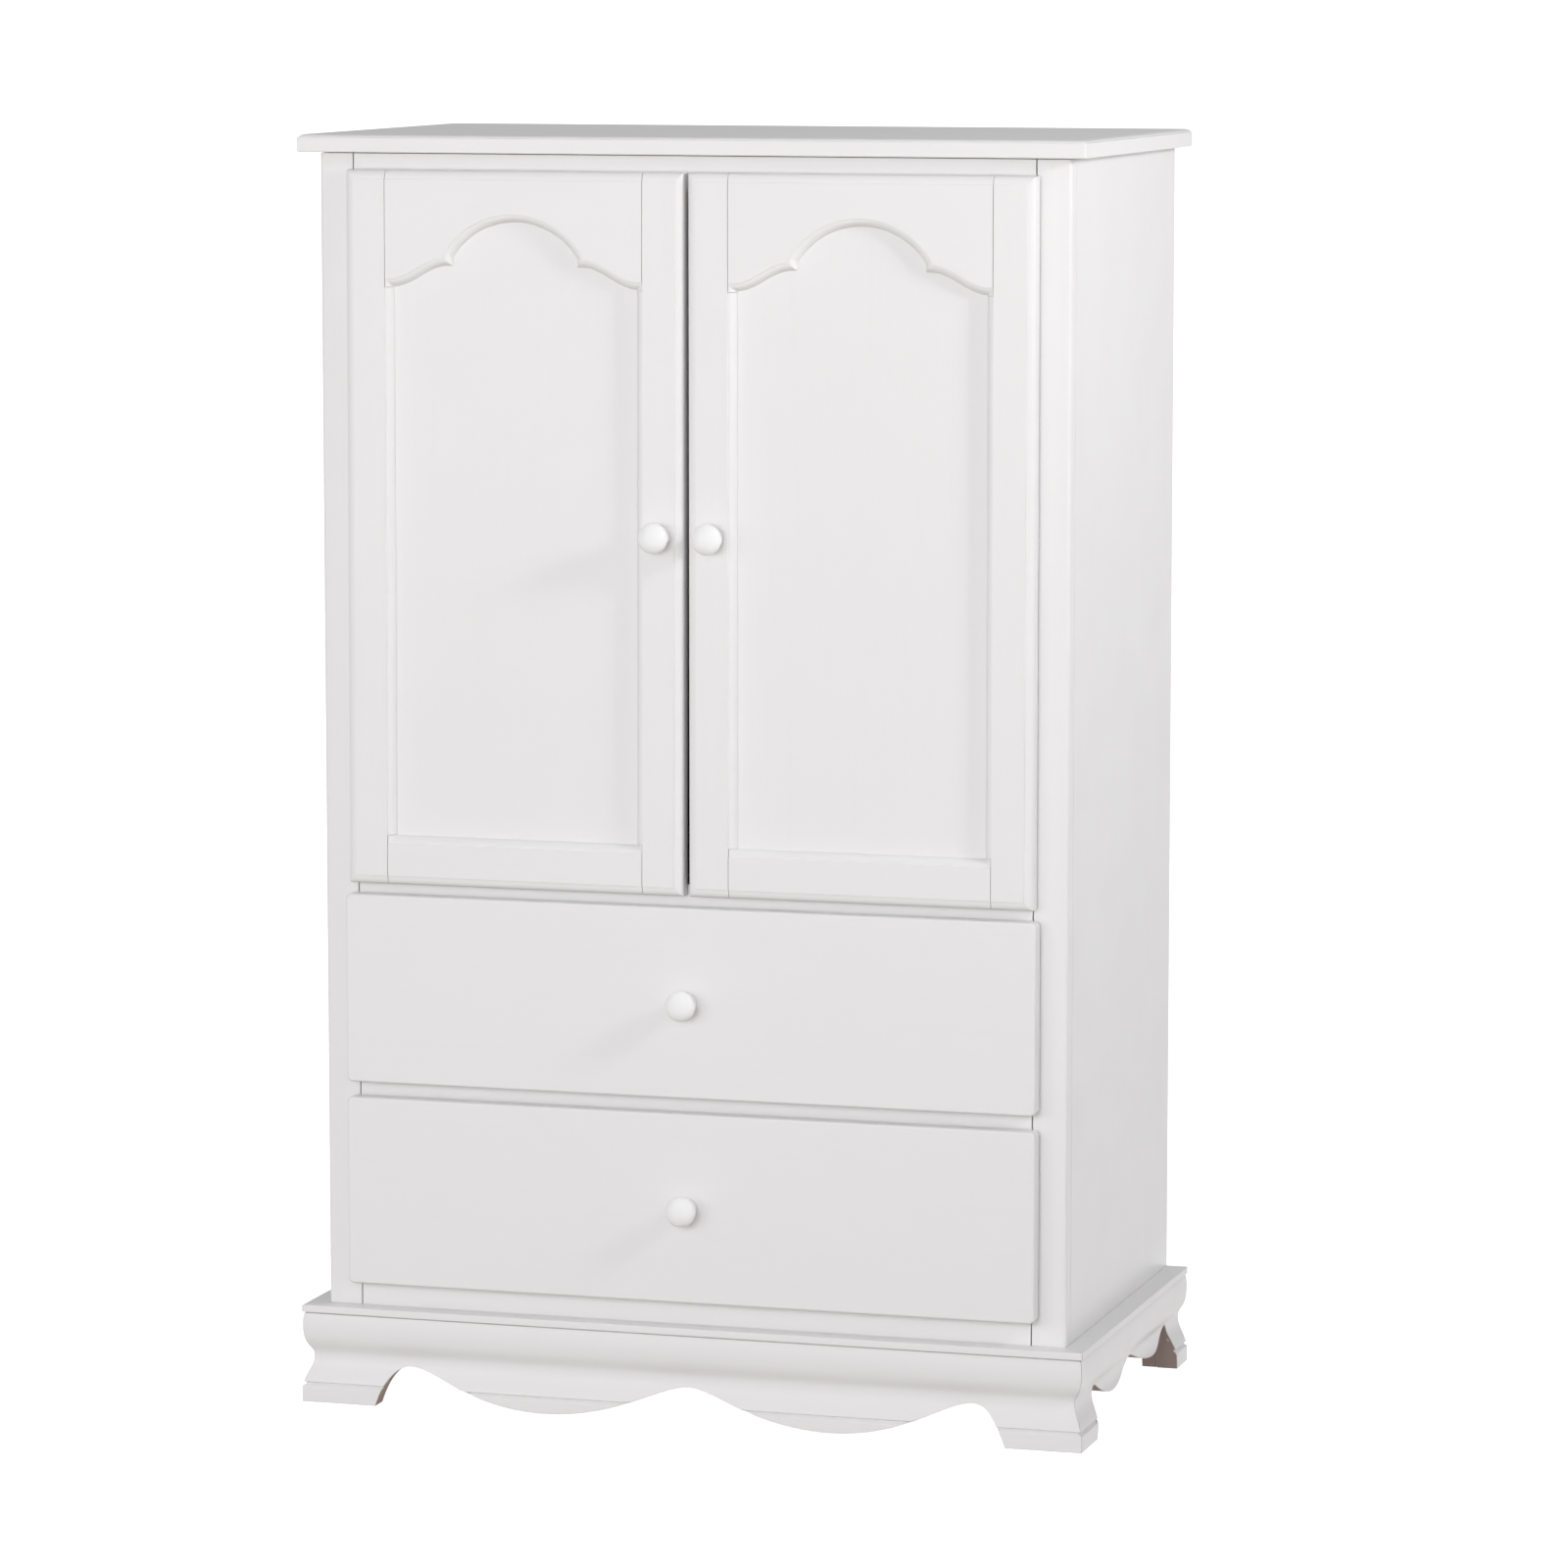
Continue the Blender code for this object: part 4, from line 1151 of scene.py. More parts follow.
@dataclass
class Case:
    """The fixed case: top, sides, face frame, boards inside and the back."""

    body: str = "case"
    top_arris: float = 0.0015
    top_step: float = 0.0165
    top_step_in: float = 0.0016
    top_round_in: float = 0.0105
    top_corner: float = 0.0018
    post_round: float = 0.004
    joint_chamfer: float = 0.0009
    leg_depth: float = 0.035
    rear_leg: float = 0.046
    leg_slant: float = 0.010
    under: float = 0.060
    shadow_line: float = 0.0009

    def build(self) -> None:
        """Build every piece of the case."""
        self.top_board()
        for word, side in SIDES:
            self.side_panel(word)
            self.front_post(word, side)
        for node in ("top_rail", "middle_rail", "drawer_rail", "bottom_rail"):
            top = self.shadow_line if node == "top_rail" else 0.0
            board(node, self.body, WHITE[Axis.X], arris=0.0005, short=(self.shadow_line, top))
        board("back_panel", self.body, BACK, arris=0.0004)
        for node in ("cabinet_floor", "bottom_board", "shelf"):
            board(node, self.body, RAW[Axis.X], arris=0.0012, axis=Axis.Z)
        for word, _ in SIDES:
            board(f"{word}_shelf_cleat", self.body, RAW[Axis.Y], arris=0.0012, corner=0.0012)

    def top_board(self) -> None:
        """Build the top, square below with a step and a flat quarter round above."""
        low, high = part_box("top_board")
        thick = high.z - low.z
        arris = self.top_arris
        profile: Outline = arc((arris, arris), arris, 1.5 * math.pi, math.pi, 4)
        profile += arc((0.0005, self.top_step - 0.0005), 0.0005, math.pi, math.pi / 2, 3)
        start = (self.top_step_in, self.top_step + 0.0003)
        profile += [(self.top_step_in - 0.0003, self.top_step + 0.00005), start]
        profile += curve(start, (self.top_step_in + 0.0006, thick - 0.0010),
                         (self.top_step_in + 0.0045, thick), (self.top_round_in, thick), 12)
        rings = []
        for inwards, rise in profile:
            left, right, front = low.x + inwards, high.x - inwards, low.y + inwards
            corner = self.top_corner
            plan = [(left, high.y)]
            plan += arc((left + corner, front + corner), corner, math.pi, 1.5 * math.pi, 4)
            plan += arc((right - corner, front + corner), corner, 1.5 * math.pi, 2 * math.pi, 4)
            plan.append((right, high.y))
            rings.append(placed(plan, low.z + rise, Axis.Z))
        finished("top_board", self.body, WHITE[Axis.X]).make(loft(rings))

    def side_panel(self, word: str) -> None:
        """Build a side down to its two legs, whose sawn inner edges stay nearly bare.

        Args:
            word: left or right.
        """
        node = f"{word}_side_panel"
        low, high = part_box(node)
        low.y, high.z = low.y + self.shadow_line / 2, high.z - self.shadow_line
        rear_leg = high.y - self.rear_leg
        outline = [
            (low.y, low.z), (low.y + self.leg_depth, low.z), (low.y + self.leg_depth, self.under),
            (rear_leg - self.leg_slant, self.under), (rear_leg, low.z), (high.y, low.z),
            (high.y, high.z), (low.y, high.z),
        ]
        solid = slab(soften(outline, 0.0008, 2), low.x, high.x, Axis.X, self.joint_chamfer)
        solid.normal_update()
        for face in solid.faces:
            middle = face.calc_center_median()
            between = low.y + self.leg_depth - 0.002 < middle.y < rear_leg + 0.002
            if between and middle.z < self.under + 0.002 and abs(face.normal.x) < 0.5:
                face.material_index = 1
        finished(node, self.body, WHITE[Axis.Z]).make(solid, extra=(BARE_EDGE,))

    def front_post(self, word: str, side: int) -> None:
        """Build a stile of the face frame with its rounded outer corner.

        Args:
            word: left or right.
            side: -1 or 1.
        """
        node = f"{word}_front_post"
        low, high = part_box(node)
        inner, outer = sorted((abs(low.x), abs(high.x)))
        centre = (outer - self.post_round, low.y + self.post_round)
        plan = [(inner + 0.0006, low.y)] + arc(centre, self.post_round, 1.5 * math.pi, 2 * math.pi, 10)
        plan += [(outer, high.y - self.joint_chamfer), (outer - self.joint_chamfer, high.y),
                 (inner + 0.0006, high.y), (inner, high.y - 0.0006), (inner, low.y + 0.0006)]
        plan = [(side * x, y) for x, y in plan]
        finished(node, self.body, WHITE[Axis.Z]).make(
            slab(plan, low.z, high.z - self.shadow_line, Axis.Z, 0.0004))


# The base


@dataclass(frozen=True)
class Scallop:
    """A lower edge between two feet: a middle peak, a lobe each side of it, and a peak at each foot.

    The heights are above the floor, and the lobe's place is a share of the way to the end peak.
    """

    peak_from_foot: float
    lobe_share: float
    middle: float
    lobe: float
    end_peak: float
    lean: float
    below_floor: float = -0.010

    def right_half(self, foot_edge: float) -> Outline:
        """The edge from its middle peak over a lobe to the foot.

        Args:
            foot_edge: where the foot starts on the floor, from the middle.

        Returns:
            (distance, height) points, the last on the floor.
        """
        peak_at = foot_edge - self.peak_from_foot
        lobe_at = self.lobe_share * peak_at
        rise = peak_at - lobe_at
        peak = (peak_at, self.end_peak)
        half = [(0.0, self.middle)]
        half += curve((0.0, self.middle), (lobe_at * 0.19, self.middle), (lobe_at * 0.50, self.lobe),
                      (lobe_at, self.lobe), 26)
        half += curve((lobe_at, self.lobe), (lobe_at + rise * 0.52, self.lobe),
                      (peak_at - rise * 0.20, self.end_peak), peak, 26)
        half += curve(peak, (peak_at + self.peak_from_foot * 0.40, self.end_peak),
                      (foot_edge - self.lean, self.end_peak * 0.55), (foot_edge, self.below_floor), 34)
        above = [point for point in half if point[1] > 0.0]
        before, after = above[-1], half[len(above)]
        share = before[1] / (before[1] - after[1])
        above.append((before[0] + share * (after[0] - before[0]), 0.0))
        return above


@dataclass
class Base:
    """The mitred base mouldings with their scalloped lower edges and feet."""

    body: str = "case"
    height: float = 0.112
    foot_out: float = 0.025
    foot_band: float = 0.0173
    waist: Point2 = (0.0139, 0.053)
    flare: Point2 = (0.0236, 0.0235)
    ledge_out: float = 0.0247
    ledge_thick: float = 0.0084
    bulge_out: float = 0.0243
    arris: float = 0.0009
    front_foot: float = 0.085
    side_foot: float = 0.072
    rear_foot: float = 0.046
    foot_blend: float = 0.0006
    front_edge: Scallop = Scallop(0.042, 0.509, middle=0.043, lobe=0.004, end_peak=0.046, lean=0.009)
    side_edge: Scallop = Scallop(0.024, 0.565, middle=0.055, lobe=0.0355, end_peak=0.056, lean=0.004)
    half: float = field(init=False)
    front: float = field(init=False)
    rear: float = field(init=False)

    def __post_init__(self) -> None:
        """Read the case's faces from the frame."""
        low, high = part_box("right_front_post")
        self.half, self.front = high.x, low.y
        self.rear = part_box("right_side_panel")[1].y

    def profile(self) -> Outline:
        """The outside of a moulding from its top to the floor.

        Returns:
            (outwards, height) points, never rising.
        """
        under_ledge = self.height - self.ledge_thick
        quirk = (self.bulge_out - 0.0019, under_ledge - 0.0013)
        shoulder = (self.bulge_out - 0.0028, self.waist[1] + 0.017)
        points: Outline = [(GAP, self.height)]
        points += arc((self.ledge_out - 0.0013, self.height - 0.0013), 0.0013, math.pi / 2, 0.0, 5)
        points += arc((self.ledge_out - 0.0009, under_ledge + 0.0010), 0.0009, 0.0, -math.pi / 2, 4)
        groove = self.bulge_out - 0.0040
        points += [(groove, under_ledge - 0.0003), (groove, under_ledge - 0.0009), quirk]
        points += curve(quirk, (self.bulge_out + 0.0003, under_ledge - 0.006),
                        (self.bulge_out + 0.0009, shoulder[1] + 0.010), shoulder, 14)
        points += curve(shoulder, (shoulder[0] - 0.003, shoulder[1] - 0.008),
                        (self.waist[0], self.waist[1] + 0.007), self.waist, 10)
        points += curve(self.waist, (self.waist[0], self.waist[1] - 0.011),
                        (self.flare[0] - 0.004, self.flare[1] + 0.012), self.flare, 14)
        groove = self.flare[0] - 0.0026
        points += [(groove, self.flare[1] - 0.0016), (groove, self.flare[1] - 0.0024),
                   (self.foot_out - 0.0022, self.foot_band + 0.0020)]
        points += arc((self.foot_out - 0.0018, self.foot_band), 0.0018, math.pi / 2, 0.0, 4)
        points.append((self.foot_out, 0.0))
        return points

    def section(self, lowest: float) -> Outline:
        """The closed cross-section of a moulding whose lower edge is at one height.

        Args:
            lowest: the height of the lower edge.

        Returns:
            (outwards, height) points, as many for every height.
        """
        profile = self.profile()
        cut = lowest + self.arris
        points = [(out, z) if z > cut else (self.reach(profile, cut), cut) for out, z in profile]
        edge = self.reach(profile, lowest)
        points += [(edge - self.arris * 0.13, lowest + self.arris * 0.5),
                   (edge - self.arris * 0.5, lowest + self.arris * 0.13),
                   (edge - self.arris, lowest), (GAP, lowest)]
        return points

    @staticmethod
    def reach(profile: Outline, height: float) -> float:
        """How far out the profile is at a height."""
        for (upper_out, upper), (lower_out, lower) in zip(profile, profile[1:]):
            if upper >= height >= lower and upper > lower:
                return lower_out + (upper_out - lower_out) * (height - lower) / (upper - lower)
        return profile[-1][0]

    def moulding(self, node: str, stations: Sequence[tuple[Any, float, bool]], place: Any) -> None:
        """Build one moulding from its cross-sections.

        Args:
            node: the frame node that it stands for.
            stations: distance along it, height of the lower edge, and whether it is bare there.
            place: gives a point in space for a distance, an outward reach and a height.
        """
        rings = [[place(at, out, z) for out, z in self.section(lowest)] for at, lowest, _ in stations]
        bm = loft(rings)
        bm.faces.ensure_lookup_table()
        count = len(rings[0])
        for k, (before, after) in enumerate(zip(stations, stations[1:])):
            bm.faces[k * count + count - 2].material_index = 2 if before[2] or after[2] else 1
        grain = Axis.X if node == "base_front" else Axis.Y
        finished(node, self.body, WHITE[grain]).make(bm, extra=(SAWN, BARE_EDGE))

    def build(self) -> None:
        """Build the front and both sides."""
        mitre = GAP / 2 * math.sqrt(2)
        edge = self.half + self.foot_out - self.front_foot
        half = self.front_edge.right_half(edge)
        right = [(at, z, at > edge - self.front_edge.peak_from_foot) for at, z in half]
        right += [(half[-1][0] + self.foot_blend, 0.0, False), (None, 0.0, False)]

        def front_place(at: tuple[int, float | None], out: float, z: float) -> Point3:
            """Place a point of the front, mitred where its distance is None."""
            side, across = at
            return (side * (self.half + out - mitre if across is None else across), self.front - out, z)

        stations = [((-1, at), z, bare) for at, z, bare in reversed(right[1:])]
        stations += [((1, at), z, bare) for at, z, bare in right]
        self.moulding("base_front", stations, front_place)
        front_edge = self.front + self.side_foot - self.foot_out
        rear_edge = self.rear - self.rear_foot
        middle = (front_edge + rear_edge) / 2
        half = self.side_edge.right_half(rear_edge - middle)
        edge_line = [(middle - at, z) for at, z in reversed(half[1:])]
        edge_line += [(middle + at, z) for at, z in half]
        run = [(None, 0.0, False), (middle - half[-1][0] - self.foot_blend, 0.0, False)]
        heights_before = [1.0] + [z for _, z in edge_line]
        run += [(at, z, z < before) for before, (at, z) in zip(heights_before, edge_line)]
        run += [(middle + half[-1][0] + self.foot_blend, 0.0, False), (self.rear, 0.0, False)]
        for word, side in SIDES:
            def side_place(at: float | None, out: float, z: float, side: int = side) -> Point3:
                """Place a point of one side, mitred where its distance is None."""
                return (side * (self.half + out), self.front - out + mitre if at is None else at, z)

            self.moulding(f"{word}_base", run, side_place)


# The doors


@dataclass
class Door:
    """A framed door with an arched, moulded opening, its flat panel, knob and hinge cups."""

    word: str
    side: int
    knobs: TurnedKnob
    askew: float = 0.0
    nudge: float = 0.0
    face: float = 0.047
    edge_width: float = 0.0095
    edge_depth: float = 0.009
    edge_step: float = 0.0011
    stick_width: float = 0.0085
    stick_depth: float = 0.0097
    stick_step: float = 0.0012
    stick_past: float = 0.0005
    arris: float = 0.0004
    panel_lap: float = 0.0105
    radius_share: float = 0.633
    arch_share: float = 0.540
    crown: float = 0.048
    spring_step: float = 0.0036
    shoulder_drop: float = 0.0235
    shoulder_run: float = 0.427
    past: float = 0.010
    joint_gap: float = 0.0004
    joint_ease: float = 0.0005
    cup_flange: Point2 = (0.024, 0.0012)
    cup_screws: float = 0.0222
    screw_radius: float = 0.0031
    screw_seed: int = 20
    low: Vector = field(init=False)
    high: Vector = field(init=False)
    middle: float = field(init=False)
    half: float = field(init=False)
    outline: Outline = field(init=False)

    def __post_init__(self) -> None:
        """Read the door's place from the frame and lay out its opening."""
        first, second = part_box(f"{self.body}_outer_stile"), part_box(f"{self.body}_inner_stile")
        self.low = Vector(tuple(min(a, b) for a, b in zip(first[0], second[0])))
        self.high = Vector(tuple(max(a, b) for a, b in zip(first[1], second[1])))
        self.middle = (self.low.x + self.high.x) / 2
        self.half = (self.high.x - self.low.x) / 2 - self.face
        self.outline = self.opening()

    @property
    def body(self) -> str:
        """The body that the door is."""
        return f"{self.word}_door"

    def opening(self) -> Outline:
        """The front arris of the arched opening, from the door's middle.

        Returns:
            (across, height) points, the right half first.
        """
        radius = self.radius_share * self.half
        centre = self.high.z - self.crown - radius
        spring = math.acos(self.arch_share / self.radius_share)
        cusp = centre + radius * math.sin(spring) - self.spring_step
        right = [(self.half, self.low.z + self.face), (self.half, cusp - self.shoulder_drop)]
        steps = 28
        for i in range(steps, -1, -1):
            across = self.half * (self.arch_share + self.shoulder_run * i / steps)
            right.append((across, cusp - self.shoulder_drop * (1 - math.cos(math.pi * i / steps)) / 2))
        crown = arc((0.0, centre), radius, spring, math.pi - spring, 60)
        return right + crown + [(-x, z) for x, z in reversed(right)]

    def sunk(self, distance: float) -> Outline:
        """The opening made smaller all round, with its upper corners kept clean.

        Args:
            distance: how far its sides move in.

        Returns:
            As many points as the opening.
        """
        moved = inset(self.outline, distance)
        limit = self.half - distance
        first = next(i for i in range(2, len(moved)) if moved[i][0] < limit)
        (near, near_z), (far, far_z) = moved[first - 1], moved[first]
        height = moved[1][1]
        if near > limit + 1e-9:
            height = near_z + (far_z - near_z) * (near - limit) / (near - far)
        for i in range(1, first):
            moved[i], moved[-1 - i] = (limit, height), (-limit, height)
        return moved

    def sticking(self) -> Solid:
        """The cutter for the opening: an eased arris, a step and a cove down to the panel."""
        front = self.low.y
        turns = [math.pi / 2 * i / 4 for i in range(5)]
        steps = [(-self.arris, front - self.past)]
        steps += [(self.arris * (math.sin(a) - 1), front + self.arris * (1 - math.cos(a)))
                  for a in turns]
        start = (self.stick_step, 0.0)
        deep = self.stick_depth - self.stick_step + self.stick_past
        cove = [start] + curve(start, (0.0045, 0.0004), (self.stick_width - 0.0012, self.stick_depth * 0.45),
                               (self.stick_width, deep), 12)
        floor = front + self.stick_step
        steps += [(0.0, floor - 0.0002), (0.0002, floor)]
        steps += [(inwards, floor + depth) for inwards, depth in cove]
        clear = self.stick_width + 0.0002
        steps += [(clear, floor + deep), (clear, floor + deep + 0.003)]
        rings = [placed([(self.middle + u, z) for u, z in self.sunk(inwards)], y, Axis.Y)
                 for inwards, y in steps]
        return loft(rings)

    def blank(self) -> Solid:
        """The whole outside of the door with its moulded outer edge."""
        lip, crest = self.low.y + self.edge_depth, self.low.y + self.edge_step
        small = self.arris
        profile = [(small * 1.5, self.high.y), (0.0, self.high.y - small * 1.5), (0.0, lip)]
        profile += curve((0.0, lip), (0.0, lip - 0.0055), (0.0040, crest), (self.edge_width, crest), 14)
        profile.append((self.edge_width, self.low.y + small))
        profile += [(self.edge_width + small * 0.3, self.low.y + small * 0.3),
                    (self.edge_width + small, self.low.y)]
        rings = []
        for inwards, y in profile:
            flat = rectangle((self.low.x + inwards, self.low.z + inwards),
                             (self.high.x - inwards, self.high.z - inwards))
            rings.append(placed(soften(flat, 0.0007, 2), y, Axis.Y))
        return loft(rings)

    def hung(self, bm: Solid) -> Solid:
        """Hang a solid of the door a hair out of plumb.

        Args:
            bm: the solid.

        Returns:
            The same solid.
        """
        for vert in bm.verts:
            vert.co.x += self.lean(vert.co.z)
        return bm

    def lean(self, z: float) -> float:
        """How far to the right the door hangs at a height."""
        low, high = self.low.z, self.high.z
        return self.nudge + self.askew * (z - (low + high) / 2) / (high - low)

    def frame_piece(self, part: str, region: Outline, joint: float, bores: Sequence[str] = ()) -> None:
        """Build one stile or rail.

        Args:
            part: its name after the door's.
            region: (across, height) outline of what the door's blank keeps.
            joint: how far its butt joint is from the door's middle.
            bores: nodes of the hinge cups let into it.
        """
        node = f"{self.body}_{part}"
        front, back = self.low.y, self.high.y
        stick = self.stick_width
        crown = max(z for _, z in self.outline)
        lap_half = self.half + self.panel_lap - stick
        lap = rectangle((self.middle - lap_half, self.low.z + self.face + stick - self.panel_lap),
                        (self.middle + lap_half, crown - stick + self.panel_lap))
        rebate = slab(lap, front + self.stick_depth, back + self.past, Axis.Y, 0.0003, 1)
        keep = loft([placed([(self.middle + u, z) for u, z in region], y, Axis.Y)
                     for y in (front - self.past, back + self.past)])
        cuts = [("INTERSECT", keep), ("DIFFERENCE", self.sticking()), ("DIFFERENCE", rebate)]
        for cup in bores:
            low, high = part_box(cup)
            radius = (high.x - low.x) / 2 + GAP
            bore = turned([(0.0, 0.0), (radius, 0.0), (radius, 0.03), (0.0, 0.03)], 64)
            place = ((low.x + high.x) / 2, low.y - GAP, (low.z + high.z) / 2)
            cuts.append(("DIFFERENCE", turn_to(bore, (0, 1, 0), place)))
        solid = carved(self.blank(), cuts)

        def on_joint(point: Vector) -> bool:
            """Tell whether a point is on the front line of the butt joint."""
            return abs(point.y - front) < 1e-5 and abs(abs(point.x - self.middle) - joint) < 1e-5

        solid = eased(solid, self.joint_ease, on_joint)
        finish = WHITE[Axis.Z if "stile" in part else Axis.X]
        finished(node, self.body, finish).make(self.hung(solid), sharp=30.0)

    def frame(self) -> None:
        """Build the two stiles and the two rails."""
        half, stick, past = self.half, self.stick_width + self.stick_past, self.past
        far = (self.high.x - self.low.x) / 2 + past
        low, high = self.low.z - past, self.high.z + past
        joint, rail_half = half + GAP / 2, half - self.joint_gap
        shoulder = self.outline[1][1]
        stick_low, stick_high = self.low.z + self.face + stick + GAP / 2, shoulder - stick - GAP / 2
        stile = [(far, low), (far, high), (joint, high), (joint, stick_high), (half - stick, stick_high),
                 (half - stick, stick_low), (joint, stick_low), (joint, low)]
        outer = [(self.side * u, z) for u, z in stile]
        inner = [(-self.side * u, z) for u, z in stile]
        cups = [f"{self.body}_{place}_hinge_cup" for place in ("upper", "lower")]
        self.frame_piece("outer_stile", outer, joint, cups)
        self.frame_piece("inner_stile", inner, joint)
        arched = rectangle((-rail_half, stick_high + GAP), (rail_half, high))
        self.frame_piece("arched_rail", arched, rail_half)
        lower = rectangle((-rail_half, low), (rail_half, stick_low - GAP))
        self.frame_piece("bottom_rail", lower, rail_half)

    def panel(self) -> None:
        """Build the flat panel behind the opening."""
        node = f"{self.body}_panel"
        low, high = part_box(node)
        solid = slab(rectangle((low.x, low.z), (high.x, high.z)), low.y, high.y, Axis.Y, 0.0006)
        finished(node, self.body, WHITE[Axis.Z]).make(self.hung(solid))

    def strike_plate(self) -> None:
        """Build the plate that the magnetic catch holds, with a dimple round its fixing."""
        node = f"{self.body}_strike_plate"
        low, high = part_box(node)
        outline = soften(rectangle((low.x, low.z), (high.x, high.z)), 0.003, 6)
        plate = slab(outline, low.y, high.y, Axis.Y, 0.0002, 2)
        dimple = turned([(0.0, -0.0005), (0.0016, -0.0005), (0.0028, 0.0006), (0.0, 0.0006)], 32)
        place = ((low.x + high.x) / 2, high.y, (low.z + high.z) / 2)
        solid = carved(plate, [("DIFFERENCE", turn_to(dimple, (0, 1, 0), place))])
        finished(node, self.body, STEEL).make(self.hung(solid))

    def hinge_cup(self, place: str) -> list[Ring]:
        """Build a pressed hinge cup with its flange.

        Args:
            place: upper or lower.

        Returns:
            The points where its screws go.
        """
        node = f"{self.body}_{place}_hinge_cup"
        low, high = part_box(node)
        x, z = (low.x + high.x) / 2, (low.z + high.z) / 2
        (wide, thick), long = self.cup_flange, high.z - low.z
        flat = rectangle((x - wide / 2, z - long / 2), (x + wide / 2, z + long / 2))
        flange = slab(soften(flat, 0.005, 8), high.y - thick, high.y, Axis.Y, 0.0003, 3)
        radius, deep = (high.x - low.x) / 2, high.y - low.y
        profile: Outline = [(0.0, 0.0), (radius - 0.0022, 0.0)]
        profile += arc((radius - 0.0018, 0.0018), 0.0018, -math.pi / 2, 0.0, 5)
        profile += [(radius, deep - thick / 2), (0.0, deep - thick / 2)]
        cup = turn_to(turned(profile, 64), (0, 1, 0), (x, low.y, z))
        hollow: Outline = [(0.0, 0.0018), (0.0115, 0.0018)]
        hollow += arc((0.0125, 0.0038), 0.0020, -math.pi / 2, 0.0, 5)
        hollow += [(0.0145, deep - 0.0006), (0.0152, deep + 0.0001), (0.0152, deep + 0.003),
                   (0.0, deep + 0.003)]
        void = turn_to(turned(hollow, 64), (0, 1, 0), (x, low.y, z))
        solid = carved(flange, [("UNION", cup), ("DIFFERENCE", void)])
        finished(node, self.body, STEEL).make(self.hung(solid))
        return [(x + self.lean(z), high.y, z + step) for step in (-self.cup_screws, self.cup_screws)]

    def build(self, fasteners: Fasteners) -> None:
        """Build the whole door.

        Args:
            fasteners: drives its screws.
        """
        self.frame()
        self.panel()
        knob_place = stand_knob(self.knobs, f"{self.body}_knob", self.body, self.hung)
        self.strike_plate()
        screws = [point for place in ("upper", "lower") for point in self.hinge_cup(place)]
        through = (knob_place[0] + self.lean(knob_place[2]), self.high.y, knob_place[2])
        fasteners.screws(f"{self.body}_screws", self.body,
                         [(screws, (0, 1, 0)), ([through], (0, 1, 0))],
                         self.screw_radius, self.screw_seed + self.side)


def stand_knob(form: TurnedKnob, node: str, body: str,
               placed_by: Callable[[Solid], Solid]) -> Point3:
    """Turn a knob where its frame node is.

    Args:
        form: the knob's form.
        node: the frame node that it stands for.
        body: the body that it moves with.
        placed_by: moves the solid a last little way.

    Returns:
        Its place on the face that it stands on.
    """
    low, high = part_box(node)
    place = ((low.x + high.x) / 2, high.y + GAP, (low.z + high.z) / 2)
    grown = form.grow(carrier_of([(0.0, 0.0, 0.0)], (0.0, 0.0, 1.0)), {
        "Radius": (high.x - low.x) / 2, "Length": place[1] - low.y, "Place": place,
        "Material": KNOB_PAINTED_LIGHT.material()})
    finished(node, body, KNOB_PAINTED_LIGHT).make(placed_by(grown), sharp=60.0)
    return place


def knob_profile() -> Outline:
    """The knob from its foot to its crown, as shares of its largest radius and its length.

    Returns:
        (radius, height) points.
    """
    length, radius, base, neck = 0.029, 0.0172, 0.0130, 0.0085
    head_back = length * 0.50
    points: Outline = [(0.0, GAP), (base - 0.0004, GAP)]
    points += [(base, GAP + 0.0005), (base, 0.0021)]
    points += arc((base - 0.0005, 0.0022), 0.0005, 0.0, math.pi / 2, 3)[1:]
    start = (base - 0.0007, 0.0028)
    points.append(start)
    points += curve(start, (neck, 0.0035), (neck, head_back - 0.006),
                    (neck + 0.0012, head_back - 0.002), 11)
    points += curve(points[-1], (radius - 0.003, head_back), (radius, head_back + 0.001),
                    (radius, head_back + 0.0042), 10)
    points += curve(points[-1], (radius, length - 0.005), (radius * 0.62, length),
                    (radius * 0.18, length), 14)
    points.append((0.0, length))
    return [(r / radius, h / length) for r, h in points]


# The drawers


